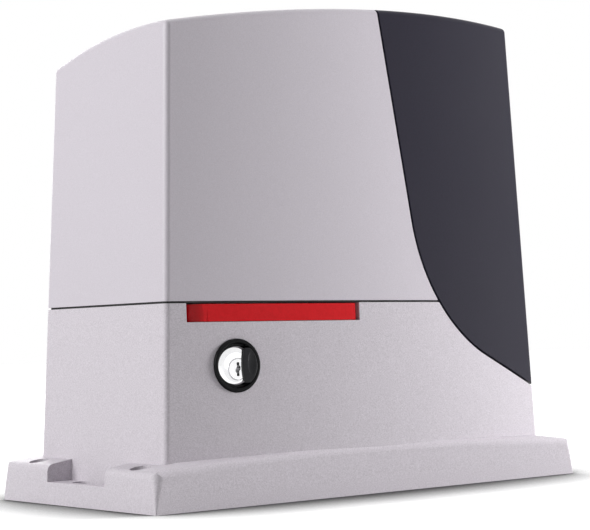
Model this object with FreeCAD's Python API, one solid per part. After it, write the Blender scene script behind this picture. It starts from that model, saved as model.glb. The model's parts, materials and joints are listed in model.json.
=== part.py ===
"""Sliding gate motor: cast base with gearbox, worm drive, manual release and lift-off cover.

Millimetres, +Z up. The origin is the centre of the base's underside. +X runs along the gate, and the
pinion that drives the rack stands out of the back, at +Y.
"""
import FreeCAD
import Part
import math
import os

from FreeCAD import Vector

# ---------------------------------------------------------------- driving dimensions
# base flange
BASE_LENGTH = 330.0
BASE_DEPTH = 153.3
FLANGE_END_HEIGHT = 21.9
FLANGE_CROWN = 5.6            # how much higher the flange's rim is at mid length
FLANGE_EDGE_RADIUS = 4.5
FLANGE_DRAFT = 0.03
FLANGE_BLOCK_HEIGHT = 50.0    # the drafted block that the flange is cut from
CORNER_RADIUS_LOW = 0.8       # the corners widen from the underside upwards
CORNER_RADIUS_HIGH = 13.0     # at the top of that block
LEDGE_SLOPE = 0.15            # how the flange's top rises from its rim to the body
NOTCH_WIDTH = 58.0            # foot notch at each end, over the fixing slot
NOTCH_FLOOR = 12.5
SLOT_WIDTH = 11.0
SLOT_LENGTH = 30.0
SLOT_TO_END = 11.0
LEVELLING_SPACING = 102.0
LEVELLING_TO_END = 9.0
LEVELLING_HEAD_RADIUS = 5.9
LEVELLING_THREAD_RADIUS = 4.0
UNDERSIDE_RIM = 9.0
UNDERSIDE_DEPTH = 8.0
UNDERSIDE_RIB = 5.0
UNDERSIDE_GRID = (6, 4)       # pockets along X and Y

# outer form of body and cover: four drafted walls, the front and back ones bowed in plan
SIDE_INSET = 16.0
SIDE_DRAFT = 0.0438
CORNER_INSET = 14.2
FACE_DRAFT = 0.0239
FACE_BOW = 13.0
VERTICAL_EDGE_RADIUS = 3.4
ROOF_EDGE_RADIUS = 3.2
ROOF_CROWN = (95.0, -34.6, 290.7)
ROOF_RADIUS_ALONG = 1125.0
ROOF_RADIUS_ACROSS = 318.0

# seam, side panel and walls
SEAM_HEIGHT = 111.4
SEAM_GAP = 1.2
SEAL_REBATE = 1.6
SEAL_CLEARANCE = 0.1
COVER_WALL = 3.0
PANEL_WALL = 3.0
PANEL_FIT = 0.2               # between the side panel and the skin it lies on
PANEL_GAP = 1.6               # reveal along the panel's curved edge
PANEL_TOP_X = 8.6             # panel edge where it meets the roof line
PANEL_TOP_Z = 286.6
PANEL_STEEP_RUN = 0.1751      # x per mm of drop, on the steep upper stretch
PANEL_KNEE = (41.25, 100.15)  # where the two straight stretches would cross
PANEL_KNEE_RADIUS = 110.0
PANEL_TAIL_FALL = 0.418       # fall per mm of x, on the flat lower stretch
CAST_WALL = 5.0
CAST_STEP = 0.6               # how far the casting stays inside the side panel
FLOOR_TOP = 16.0

# release handle in its pocket
HANDLE_TO_END = 36.2          # from the flange's left end
HANDLE_LENGTH = 111.1
HANDLE_HEIGHT = 9.6
HANDLE_DEPTH = 12.0
HANDLE_END_GAP = 3.0
HANDLE_FACE_SET_BACK = 0.3
POCKET_FLOOR = 100.4
POCKET_DEPTH = 13.5
POCKET_WALL = 5.5
HANDLE_FLOOR_GAP = 0.3
HANDLE_END_RADIUS = 9.9
HANDLE_END_PLAY = 0.5
SPINDLE_RADIUS = 4.0
CRANK_HUB_RADIUS = 5.2
CRANK_THICKNESS = 3.2
CRANK_THROW = 5.66
CRANK_PIN_RADIUS = 2.5
YOKE_PLAY = 0.35
RELEASE_SLIDE = 8.0
CLUTCH_TRAVEL = 6.0
SLIDER_THICKNESS = 3.0
SLIDER_WIDTH = 8.0
SLIDER_LEAD = 4.23            # slider front ahead of the spindle

# lock
LOCK_TO_END = 63.2
LOCK_Z = 76.3
BEZEL_RADIUS = 14.9
BEZEL_HEIGHT = 5.5
BEZEL_OPENING = 10.8
SHUTTER_THICKNESS = 1.2
BARREL_RADIUS = 9.5
BARREL_LENGTH = 28.0
PLUG_RADIUS = 5.7
PLUG_DROP = 2.0
KEY_SLOT_WIDTH = 1.6
KEY_SLOT_HEIGHT = 7.6
LOCK_CAM_LENGTH = 12.6

# drive train
OUTPUT_TO_END = 140.0
OUTPUT_Z = 62.0
OUTPUT_SHAFT_RADIUS = 10.0
RUNNING_FIT = 0.05
WHEEL_MODULE = 3.0
WHEEL_TEETH = 20
WHEEL_WIDTH = 18.0
WORM_PITCH_RADIUS = 10.0
WORM_LENGTH = 44.0
MESH_BACKLASH = 0.9
WORM_SHAFT_RADIUS = 5.0
MOTOR_SHAFT_RADIUS = 6.0
PINION_MODULE = 4.0
PINION_TEETH = 15
PINION_WIDTH = 30.0
PINION_SET_OUT = 3.85         # from the flange's back edge
PINION_BACKLASH = 0.2
PRESSURE_ANGLE = 20.0

# gearbox chamber
CHAMBER_FRONT = -20.0
CHAMBER_BACK = 34.0
CHAMBER_RADIUS = 36.0
GEARBOX_WALL = 6.0
GEARBOX_TOP = 104.0
HOUSING_RADIUS = 44.0
COVER_PLATE_THICKNESS = 6.0
BEARING_BORE = 10.0
FRONT_BEARING = (21.0, 12.0)  # outer radius, width
REAR_BEARING = (23.5, 14.0)
WORM_LOWER_BEARING = (13.0, 8.0)
WORM_UPPER_BEARING = (16.0, 10.0)
SEAL_OUTER_RADIUS = 17.5
SEAL_WIDTH = 7.0
CLUTCH_RADIUS = 22.0
CLUTCH_WIDTH = 11.0
CLUTCH_GAP = 0.6
DOG_LENGTH = 4.0
DOG_COUNT = 4
FORK_THICKNESS = 3.5
ROD_RADIUS = 3.5
ROD_OFFSET = 43.0             # from the output shaft

# motor
MOTOR_RADIUS = 42.0
MOTOR_EAR_REACH = 50.0
MOTOR_EAR_RADIUS = 7.0
MOTOR_EAR_ANGLES = (40.0, 140.0, 220.0)
MOTOR_WALL = 2.5
MOTOR_LENGTH = 92.0
MOTOR_FLANGE_THICKNESS = 8.0
END_CAP_HEIGHT = 14.0
MAGNET_THICKNESS = 8.0
AIR_GAP = 0.8
ARMATURE_SLOTS = 12
ARMATURE_LENGTH = 46.0

# electrics
TRANSFORMER_OFFSET = 56.0     # from the cable entry
TRANSFORMER_RADIUS = 41.0
TRANSFORMER_HOLE = 14.0
TRANSFORMER_HEIGHT = 38.0
CABLE_TO_END = 43.0
CABLE_HOLE_RADIUS = 12.0
BOARD_TO_END = 45.0
BOARD_LENGTH = 96.0
BOARD_BOTTOM = 118.0
BOARD_TOP = 228.0
BOARD_THICKNESS = 1.6
CARRIER_BACK = 12.5
CARRIER_WALL = 2.5
CARRIER_RIM = 7.0
CARRIER_MARGIN = 5.0
STANDOFF = 1.6
BUTTON_TRAVEL = 0.8

# limit switch
SWITCH_SET_BACK = 10.65       # from the flange's back edge
SWITCH_DEPTH = 22.0
SWITCH_PIVOT_INSET = 10.0
SWITCH_SCREW_INSET = 5.0
SWITCH_SCREW_SPACING = 27.0
SWITCH_HALF = 18.0
LEVER_Z = 119.0
LEVER_OVERHANG = 31.5         # past the pinion's front
LEVER_RADIUS = 2.2
LEVER_HUB_RADIUS = 5.0
LEVER_HUB_HEIGHT = 8.0
LEVER_PIN_RADIUS = 2.0

# cover fixing: open slots in two lugs on the back wall drop over two screws
LUG_OFFSETS = (-75.0, 39.0)   # from the output shaft
LUG_HALF_WIDTH = 8.0
LUG_DROP = 13.0
LUG_GAP = 0.5
LUG_SLOT_PLAY = 0.4
COVER_SCREW_RADIUS = 2.5
COVER_SCREW_HEAD = 4.6
SWITCH_WINDOW_HALF = 19.0
SWITCH_WINDOW_TOP = 127.0

# remaining seats and sizes of the drive
WORM_WELL_RADIUS = 15.0
WORM_LOWER_SEAT = 29.0
BEARING_SHOULDER = 2.0
OUTPUT_BOSS_RADIUS = 32.0
BOSS_SET_BACK = 0.65          # from the flange's back edge
REAR_SEAT = 35.0
FRONT_SEAT = -34.0
SHAFT_FRONT = -33.0
ROD_BACK = 36.0
ROD_IDLE = 0.4
FORK_HUB_RADIUS = 6.3
GROOVE_RADIUS = 18.5
DOG_OUTER = 20.5
DOG_INNER = 14.5
DOG_HALF_ANGLE = 8.0
DOG_PLAY = 0.4
KEY_WIDTH = 6.0
KEY_DEPTH = 2.6
CLUTCH_KEY = (11.0, 32.0)
PINION_KEY_INSET = 2.5
CIRCLIP_Y = 9.1
CIRCLIP_WIDTH = 1.0
GUIDE_OFFSETS = (-44.0, -4.0) # from the output shaft
GUIDE_WIDTH = 10.0
TOP_BEARING = (11.0, 7.0)
COMMUTATOR_RADIUS = 13.0
BEZEL_RECESS = 1.2
FACE_PLATE_TOP = 0.8
SHUTTER_FRONT = 2.3
SHUTTER_ROOM = 13.4
SHUTTER_OFFSET = 16.5
NUT_RADIUS = 11.8
TRANSFORMER_BOLT_RADIUS = 4.0
PAD_THICKNESS = 2.0
POST_Y = 30.0
POST_HALF = 6.0
TERMINAL_COUNT = 5
TERMINAL_PITCH = 16.0
LUG_SIDE_GAP = 0.4

SCREW_CLEARANCE = 0.05
REST_GAP = 0.3                # between moving pieces that rest close together

# ---------------------------------------------------------------- places worked out from them
SEAM_LOW = SEAM_HEIGHT - SEAM_GAP / 2
SEAM_HIGH = SEAM_HEIGHT + SEAM_GAP / 2
PANEL_SEAT = PANEL_WALL + PANEL_FIT
CAST_SEAT = PANEL_WALL + CAST_STEP
FORM_TOP = ROOF_CROWN[2] + 40.0
OUTPUT_X = OUTPUT_TO_END - BASE_LENGTH / 2
HANDLE_LEFT = HANDLE_TO_END - BASE_LENGTH / 2
HANDLE_RIGHT = HANDLE_LEFT + HANDLE_LENGTH
LOCK_X = LOCK_TO_END - BASE_LENGTH / 2
ROD_X = OUTPUT_X + ROD_OFFSET
CABLE_X = BASE_LENGTH / 2 - CABLE_TO_END
TRANSFORMER_X = CABLE_X - TRANSFORMER_OFFSET
BOARD_RIGHT = BASE_LENGTH / 2 - BOARD_TO_END
BOARD_LEFT = BOARD_RIGHT - BOARD_LENGTH
LUG_PLACES = [OUTPUT_X + offset for offset in LUG_OFFSETS]
GUIDE_PLACES = [OUTPUT_X + offset for offset in GUIDE_OFFSETS]
OUTPUT_BOSS_END = BASE_DEPTH / 2 - BOSS_SET_BACK
PINION_FRONT = BASE_DEPTH / 2 + PINION_SET_OUT
PINION_KEY = (PINION_FRONT + PINION_KEY_INSET, PINION_FRONT + PINION_WIDTH - PINION_KEY_INSET)
SWITCH_BACK = BASE_DEPTH / 2 - SWITCH_SET_BACK
SWITCH_FRONT = SWITCH_BACK - SWITCH_DEPTH
SWITCH_PIVOT_Y = SWITCH_BACK - SWITCH_PIVOT_INSET
SWITCH_SCREW_Y = SWITCH_FRONT + SWITCH_SCREW_INSET
SWITCH_SCREWS = (OUTPUT_X - SWITCH_SCREW_SPACING / 2, OUTPUT_X + SWITCH_SCREW_SPACING / 2)
LEVER_REACH = PINION_FRONT + LEVER_OVERHANG
WHEEL_RADIUS = WHEEL_MODULE * WHEEL_TEETH / 2
WORM_X = OUTPUT_X - WHEEL_RADIUS - WORM_PITCH_RADIUS
WORM_PITCH = math.pi * WHEEL_MODULE
LEAD_SLOPE = WHEEL_MODULE / (2 * WORM_PITCH_RADIUS)
SPINDLE_X = HANDLE_LEFT + HANDLE_END_RADIUS
HANDLE_TOP = POCKET_FLOOR + HANDLE_FLOOR_GAP + HANDLE_HEIGHT
POCKET_UNDERSIDE = POCKET_FLOOR - 4.2
CRANK_TOP = POCKET_UNDERSIDE - 0.5
SLIDER_TOP = CRANK_TOP - CRANK_THICKNESS - 0.6
SLIDER_BOTTOM = SLIDER_TOP - SLIDER_THICKNESS
ROD_Z = (SLIDER_TOP + SLIDER_BOTTOM) / 2
WHEEL_BACK = WHEEL_WIDTH / 2
CLUTCH_FRONT = WHEEL_BACK + CLUTCH_GAP
FORK_Y = CLUTCH_FRONT + CLUTCH_WIDTH / 2
MOTOR_BOTTOM = GEARBOX_TOP + MOTOR_FLANGE_THICKNESS
MOTOR_TOP = MOTOR_BOTTOM + MOTOR_LENGTH
ARMATURE_RADIUS = MOTOR_RADIUS - MOTOR_WALL - MAGNET_THICKNESS - AIR_GAP
LUG_SCREW_Z = SEAM_HIGH - LUG_DROP / 2
LEDGE_TOP = SLIDER_BOTTOM - REST_GAP
WORM_BOTTOM = OUTPUT_Z - WORM_LENGTH / 2
WORM_UPPER_SEAT = GEARBOX_TOP - BEARING_SHOULDER - WORM_UPPER_BEARING[1]
SHAFT_TOP = MOTOR_TOP + 8.0
ARMATURE_BOTTOM = MOTOR_BOTTOM + 14.0
COMMUTATOR_BOTTOM = ARMATURE_BOTTOM + ARMATURE_LENGTH + 14.0
BOARD_FRONT = CARRIER_BACK - CARRIER_WALL - STANDOFF - BOARD_THICKNESS
BUTTON_BASE_TOP = BOARD_FRONT - 3.5
BUTTON_Z = BOARD_TOP - 12.0


# ---------------------------------------------------------------- small helpers
def box(x, y, z):
    """A box from three (low, high) pairs."""
    size = [max(pair) - min(pair) for pair in (x, y, z)]
    return Part.makeBox(*size, Vector(min(x), min(y), min(z)))


def rod(radius, start, end):
    """A round bar between two points."""
    start = Vector(*start)
    along = Vector(*end) - start
    return Part.makeCylinder(radius, along.Length, start, along)


def tube(outer, inner, start, end):
    """A round bar with a bore."""
    return rod(outer, start, end).cut(rod(inner, start, end))


def turned(profile, base, axis):
    """Revolve (radius, height) points about the axis through base."""
    points = [Vector(r, 0, h) for r, h in profile]
    face = Part.Face(Part.makePolygon(points + points[:1]))
    solid = face.revolve(Vector(0, 0, 0), Vector(0, 0, 1), 360)
    solid.rotate(Vector(0, 0, 0), *turn_from_z(axis))
    solid.translate(Vector(*base))
    return solid


def turn_from_z(axis):
    """Rotation axis and angle in degrees that take +Z to the given direction."""
    turn = FreeCAD.Rotation(Vector(0, 0, 1), Vector(*axis))
    return turn.Axis, math.degrees(turn.Angle)


def plate_xz(points, y_low, y_high):
    """A prism along Y with an outline of (x, z) points."""
    outline = [Vector(x, y_low, z) for x, z in points]
    return Part.Face(Part.makePolygon(outline + outline[:1])).extrude(Vector(0, y_high - y_low, 0))


def plate_xy(points, z_low, z_high):
    """A prism along Z with an outline of (x, y) points."""
    outline = [Vector(x, y, z_low) for x, y in points]
    return Part.Face(Part.makePolygon(outline + outline[:1])).extrude(Vector(0, 0, z_high - z_low))


def joined(shapes):
    """One shape fused from many."""
    first, rest = shapes[0], shapes[1:]
    return first.multiFuse(rest).removeSplitter() if rest else first


def screw(head_radius, head_height, shank_radius, shank_length, seat, direction):
    """A socket-head screw: its seat is under the head, and direction points along the shank."""
    down = Vector(*direction)
    seat = Vector(*seat)
    head = Part.makeCylinder(head_radius, head_height, seat - down * head_height, down)
    shank = Part.makeCylinder(shank_radius, shank_length, seat, down)
    hexagon = [Vector(math.cos(a), math.sin(a), 0) * head_radius * 0.55
               for a in (math.radians(60 * i) for i in range(7))]
    socket = Part.Face(Part.makePolygon(hexagon)).extrude(Vector(0, 0, head_height * 0.5))
    socket.rotate(Vector(0, 0, 0), *turn_from_z(direction))
    socket.translate(seat - down * head_height)
    return head.fuse(shank).cut(socket)


# ---------------------------------------------------------------- outer form
def side_half(z):
    """Half length of the body at height z."""
    return BASE_LENGTH / 2 - SIDE_INSET - SIDE_DRAFT * z


def corner_half(z):
    """Half depth of the body at its corners, at height z."""
    return BASE_DEPTH / 2 - CORNER_INSET - FACE_DRAFT * z


def face_y(x, z):
    """How far the bowed front or back face stands from the middle plane."""
    return corner_half(z) + FACE_BOW * (1 - (x / side_half(z)) ** 2)


SPINDLE_Y = HANDLE_FACE_SET_BACK + HANDLE_END_RADIUS - face_y(SPINDLE_X, HANDLE_TOP)
SLIDER_FRONT = SPINDLE_Y - SLIDER_LEAD
SLIDER_BACK = SLIDER_FRONT + SLIDER_WIDTH


def form_section(z, inset):
    """The body's plan outline at height z, set in from the outer skin."""
    hx = side_half(z) - inset
    hy = corner_half(z) - inset
    corners = [Vector(-hx, -hy, z), Vector(hx, -hy, z), Vector(hx, hy, z), Vector(-hx, hy, z)]
    front = Part.Arc(corners[0], Vector(0, -hy - FACE_BOW, z), corners[1]).toShape()
    back = Part.Arc(corners[2], Vector(0, hy + FACE_BOW, z), corners[3]).toShape()
    right = Part.makeLine(corners[1], corners[2])
    left = Part.makeLine(corners[3], corners[0])
    return Part.Wire([front, right, back, left])


def drafted_form(inset):
    """The drafted prism that the body and cover are cut from."""
    solid = Part.makeLoft([form_section(0, inset), form_section(FORM_TOP, inset)], True, True)
    radius = VERTICAL_EDGE_RADIUS - inset
    if radius < 1.0:
        return solid
    upright = [e for e in solid.Edges if abs(e.Vertexes[0].Z - e.Vertexes[-1].Z) > FORM_TOP / 2]
    return solid.makeFillet(radius, upright)


def above_roof(drop):
    """Everything above the doubly curved roof, lowered by drop."""
    reach_x, reach_y = BASE_LENGTH, BASE_DEPTH
    cx, cy, cz = ROOF_CROWN

    def poles(centre, reach, radius):
        low, high = (-(s - centre) ** 2 / (2 * radius) for s in (-reach, reach))
        middle = -centre ** 2 / (2 * radius)
        return low, 2 * middle - (low + high) / 2, high

    along = poles(cx, reach_x, ROOF_RADIUS_ALONG)
    across = poles(cy, reach_y, ROOF_RADIUS_ACROSS)
    surface = Part.BezierSurface()
    surface.increase(2, 2)
    for i, x in enumerate((-reach_x, 0, reach_x)):
        for j, y in enumerate((-reach_y, 0, reach_y)):
            surface.setPole(i + 1, j + 1, Vector(x, y, cz - drop + along[i] + across[j]))
    return surface.toShape().extrude(Vector(0, 0, FORM_TOP))


def outer_form(inset):
    """The closed outer form with its roof, set in by inset."""
    solid = drafted_form(inset).cut(above_roof(inset)).Solids[0]
    radius = ROOF_EDGE_RADIUS - inset
    if radius < 1.0:
        return solid
    rim = [e for e in solid.Edges if min(v.Z for v in e.Vertexes) > ROOF_CROWN[2] * 0.7]
    return solid.makeFillet(radius, rim)


def panel_edge(shift):
    """Points of the side panel's edge in XZ: steep line, tangent arc, flat line; shift moves it right."""
    steep = Vector(PANEL_STEEP_RUN, 0, -1).normalize()
    tail = Vector(1, 0, -PANEL_TAIL_FALL).normalize()
    knee = Vector(PANEL_KNEE[0], 0, PANEL_KNEE[1])
    out_steep = Vector(-steep.z, 0, steep.x)
    out_tail = Vector(-tail.z, 0, tail.x)
    half_turn = math.acos(steep.dot(tail)) / 2
    outward = (out_steep + out_tail).normalize()
    knee = knee + outward * (shift / math.cos(half_turn))
    radius = PANEL_KNEE_RADIUS - shift
    back = radius * math.tan(half_turn)
    start = knee - steep * back
    end = knee + tail * back
    centre = knee + outward * (radius / math.cos(half_turn))
    middle = centre - outward * radius
    top = start - steep * ((FORM_TOP - start.z) / -steep.z)
    tip = end + tail * (BASE_LENGTH - end.x)
    return top, start, middle, end, tip


def panel_side(shift):
    """The prism on the panel's side of its edge."""
    top, start, middle, end, tip = panel_edge(shift)
    far = Vector(tip.x, 0, top.z)
    wire = Part.Wire([Part.makeLine(top, start), Part.Arc(start, middle, end).toShape(),
                      Part.makeLine(end, tip), Part.makeLine(tip, far), Part.makeLine(far, top)])
    prism = Part.Face(wire).extrude(Vector(0, 2 * BASE_DEPTH, 0))
    prism.translate(Vector(0, -BASE_DEPTH, 0))
    return prism


def slab(z_low, z_high):
    """A slab of the whole plan between two heights."""
    return box((-BASE_LENGTH, BASE_LENGTH), (-BASE_DEPTH, BASE_DEPTH), (z_low, z_high))


# ---------------------------------------------------------------- cover
def lug_band(x, grow, z_low):
    """The space of one cover lug on the back wall, grown by grow."""
    across = (x - LUG_HALF_WIDTH - grow, x + LUG_HALF_WIDTH + grow)
    return box(across, (0, BASE_DEPTH), (z_low - grow, SEAM_HIGH + 1))


def cover_shell(outer, skin):
    """The grey cover: full skin left of the panel edge, a recessed skin under the panel."""
    solid = outer.cut(panel_side(0)).fuse(skin)
    solid = solid.cut(outer_form(COVER_WALL).cut(panel_side(-COVER_WALL)))
    solid = solid.cut(outer_form(PANEL_SEAT + COVER_WALL))
    solid = solid.common(slab(SEAM_HIGH, FORM_TOP))
    band = drafted_form(0).cut(drafted_form(COVER_WALL))
    slot_half = COVER_SCREW_RADIUS + LUG_SLOT_PLAY
    for x in LUG_PLACES:
        lug = band.common(lug_band(x, 0, SEAM_HIGH - LUG_DROP))
        slot = box((x - slot_half, x + slot_half), (0, BASE_DEPTH), (0, LUG_SCREW_Z + slot_half))
        solid = solid.fuse(lug.cut(slot))
    window = box((OUTPUT_X - SWITCH_WINDOW_HALF, OUTPUT_X + SWITCH_WINDOW_HALF), (0, BASE_DEPTH),
                 (0, SWITCH_WINDOW_TOP))
    return solid.cut(window).removeSplitter()


def side_panel(outer):
    """The dark panel: it wraps the right end and covers the casting's shoulder."""
    inner = outer_form(PANEL_WALL)
    return outer.cut(inner).common(panel_side(PANEL_GAP))


def cover_seal(cover):
    """A rubber strip under the cover's rim, set back from the outside."""
    rim = cover.common(slab(SEAM_HIGH, SEAM_HIGH + SEAM_GAP - SEAL_CLEARANCE))
    rim.translate(Vector(0, 0, -(SEAM_GAP - SEAL_CLEARANCE)))
    strip = rim.common(drafted_form(SEAL_REBATE))
    for x in LUG_PLACES:
        strip = strip.cut(lug_band(x, LUG_GAP, 0))
    return strip


# ---------------------------------------------------------------- casting
def flange_block(grow_x, grow_y):
    """The drafted block that the flange is cut from, grown along X or Y."""
    def outline(z):
        x = BASE_LENGTH / 2 - FLANGE_DRAFT * z + grow_x
        y = BASE_DEPTH / 2 - FLANGE_DRAFT * z + grow_y
        return Part.makePolygon([Vector(-x, -y, z), Vector(x, -y, z), Vector(x, y, z), Vector(-x, y, z),
                                 Vector(-x, -y, z)])

    return Part.makeLoft([outline(0), outline(FLANGE_BLOCK_HEIGHT)], True, True)


def rounded_rims(block, long_side):
    """Round the two rims that run along the given size, "XLength" or "YLength"."""
    rims = [e for e in block.Edges if getattr(e.BoundBox, long_side) > BASE_DEPTH * 0.8
            and FLANGE_END_HEIGHT / 2 < e.CenterOfMass.z < FLANGE_END_HEIGHT + 2 * FLANGE_CROWN
            and (abs(e.CenterOfMass.y) > BASE_DEPTH * 0.4 or abs(e.CenterOfMass.x) > BASE_LENGTH * 0.4)]
    return block.makeFillet(FLANGE_EDGE_RADIUS, rims)


def flange():
    """The foot flange: a crowned rim, a top that rises to the body, and corners that widen upwards."""
    high, beyond, over = 3 * FLANGE_BLOCK_HEIGHT, 30.0, 5.0
    reach = BASE_LENGTH / 2 + beyond
    crown = FLANGE_END_HEIGHT + FLANGE_CROWN - LEDGE_SLOPE * over
    low = crown - FLANGE_CROWN * (2 * reach / BASE_LENGTH) ** 2
    fronts, ends = flange_block(beyond, 0), flange_block(0, beyond)
    for side in (-1, 1):
        y = side * (BASE_DEPTH / 2 + over)
        rim = Part.Arc(Vector(-reach, y, low), Vector(0, y, crown), Vector(reach, y, low)).toShape()
        lid = Part.makePolygon([Vector(reach, y, low), Vector(reach, y, high), Vector(-reach, y, high),
                                Vector(-reach, y, low)])
        above = Part.Face(Part.Wire([rim] + lid.Edges))
        fronts = fronts.cut(above.extrude(Vector(0, -side * BASE_DEPTH, LEDGE_SLOPE * BASE_DEPTH)))
        x = side * (BASE_LENGTH / 2 + over)
        slope = [(x, FLANGE_END_HEIGHT - LEDGE_SLOPE * over), (0, FLANGE_END_HEIGHT + LEDGE_SLOPE * BASE_LENGTH / 2),
                 (0, high), (x, high)]
        ends = ends.cut(plate_xz(slope, -BASE_DEPTH, BASE_DEPTH))
    corners = flange_block(0, 0)
    upright = [e for e in corners.Edges if abs(e.Vertexes[0].Z - e.Vertexes[-1].Z) > FLANGE_BLOCK_HEIGHT / 2]
    corners = corners.makeFillet(CORNER_RADIUS_LOW, CORNER_RADIUS_HIGH, upright)
    fronts = rounded_rims(fronts, "XLength")
    ends = rounded_rims(ends, "YLength")
    return fronts.common(ends).common(corners).removeSplitter()


def foot_cuts():
    """Fixing slot and levelling holes at both ends of the flange."""
    cuts = []
    for side in (-1, 1):
        slot_x = side * (BASE_LENGTH / 2 - SLOT_TO_END)
        straight = (SLOT_LENGTH - SLOT_WIDTH) / 2
        slot = box((slot_x - SLOT_WIDTH / 2, slot_x + SLOT_WIDTH / 2), (-straight, straight),
                   (-1, NOTCH_FLOOR + 1))
        ends = [rod(SLOT_WIDTH / 2, (slot_x, s * straight, -1), (slot_x, s * straight, NOTCH_FLOOR + 1))
                for s in (-1, 1)]
        cuts += [slot] + ends
    for x, y in levelling_places():
        cuts.append(rod(LEVELLING_HEAD_RADIUS, (x, y, NOTCH_FLOOR), (x, y, 2 * FLANGE_END_HEIGHT)))
        cuts.append(rod(LEVELLING_THREAD_RADIUS + SCREW_CLEARANCE, (x, y, -1), (x, y, NOTCH_FLOOR + 1)))
    return cuts


def levelling_places():
    """Centres of the four levelling screws."""
    x = BASE_LENGTH / 2 - LEVELLING_TO_END
    y = LEVELLING_SPACING / 2
    return [(-x, -y), (x, -y), (x, y), (-x, y)]


def underside_pockets():
    """Open pockets between ribs, under the floor."""
    left = -side_half(0) + UNDERSIDE_RIM
    right = CABLE_X - CABLE_HOLE_RADIUS - UNDERSIDE_RIB
    reach = BASE_DEPTH / 2 - UNDERSIDE_RIM
    columns, rows = UNDERSIDE_GRID
    step_x = (right - left + UNDERSIDE_RIB) / columns
    step_y = (2 * reach + UNDERSIDE_RIB) / rows
    pockets = []
    for i in range(columns):
        for j in range(rows):
            x = left + i * step_x
            y = -reach + j * step_y
            pockets.append(box((x, x + step_x - UNDERSIDE_RIB), (y, y + step_y - UNDERSIDE_RIB),
                               (-1, UNDERSIDE_DEPTH)))
    return pockets


def housing_profile(radius, tunnel_left, tunnel_right, tunnel_low, tunnel_high, y_low, y_high):
    """A round housing about the output shaft joined to the clutch rod's tunnel."""
    barrel = rod(radius, (OUTPUT_X, y_low, OUTPUT_Z), (OUTPUT_X, y_high, OUTPUT_Z))
    tunnel = box((tunnel_left, tunnel_right), (y_low, y_high), (tunnel_low, tunnel_high))
    return barrel.fuse(tunnel)


def gear_housing():
    """The gearbox body, cast in one with the base."""
    barrel = housing_profile(HOUSING_RADIUS, OUTPUT_X, ROD_X + 13.0, ROD_Z - 20.0, GEARBOX_TOP,
                             CHAMBER_FRONT, CHAMBER_BACK + GEARBOX_WALL)
    column = box((WORM_X - 21.0, OUTPUT_X), (CHAMBER_FRONT, 21.0), (FLOOR_TOP - 1, GEARBOX_TOP))
    web = box((OUTPUT_X - 30.0, OUTPUT_X + 30.0), (CHAMBER_FRONT, CHAMBER_BACK + GEARBOX_WALL),
              (FLOOR_TOP - 1, OUTPUT_Z - 20))
    boss = rod(OUTPUT_BOSS_RADIUS, (OUTPUT_X, CHAMBER_BACK, OUTPUT_Z), (OUTPUT_X, OUTPUT_BOSS_END, OUTPUT_Z))
    rod_boss = box((ROD_X - 9.0, ROD_X + 9.0), (CHAMBER_BACK, CHAMBER_BACK + 15.0), (ROD_Z - 8.0, ROD_Z + 8.0))
    pad = rod(MOTOR_RADIUS, (WORM_X, 0, GEARBOX_TOP - 9.0), (WORM_X, 0, GEARBOX_TOP))
    ears = [rod(MOTOR_EAR_RADIUS, (x, y, GEARBOX_TOP - 14.0), (x, y, GEARBOX_TOP)) for x, y in motor_ears()]
    arms = [ear_arm(x, y, GEARBOX_TOP - 9.0, GEARBOX_TOP) for x, y in motor_ears()]
    keep = box((-BASE_LENGTH, BASE_LENGTH), (CHAMBER_FRONT, BASE_DEPTH), (0, GEARBOX_TOP))
    front_left = box((-BASE_LENGTH, OUTPUT_X - HOUSING_RADIUS - 1.0), (-BASE_DEPTH, CHAMBER_FRONT), (0, GEARBOX_TOP))
    seat = joined([pad] + ears + arms).common(keep.fuse(front_left))
    solid = joined([barrel, column, web, boss, rod_boss, seat])
    return solid.common(slab(0, GEARBOX_TOP))


def ear_arm(x, y, z_low, z_high):
    """A straight arm from the motor's axis to one of its ears."""
    along = Vector(x - WORM_X, y, 0)
    arm = box((0, along.Length), (-MOTOR_EAR_RADIUS, MOTOR_EAR_RADIUS), (z_low, z_high))
    arm.rotate(Vector(0, 0, 0), Vector(0, 0, 1), math.degrees(math.atan2(y, x - WORM_X)))
    arm.translate(Vector(WORM_X, 0, 0))
    return arm


def motor_ears():
    """Centres of the screws that hold the motor."""
    angles = [math.radians(a) for a in MOTOR_EAR_ANGLES]
    return [(WORM_X + MOTOR_EAR_REACH * math.cos(a), MOTOR_EAR_REACH * math.sin(a)) for a in angles]


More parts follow.
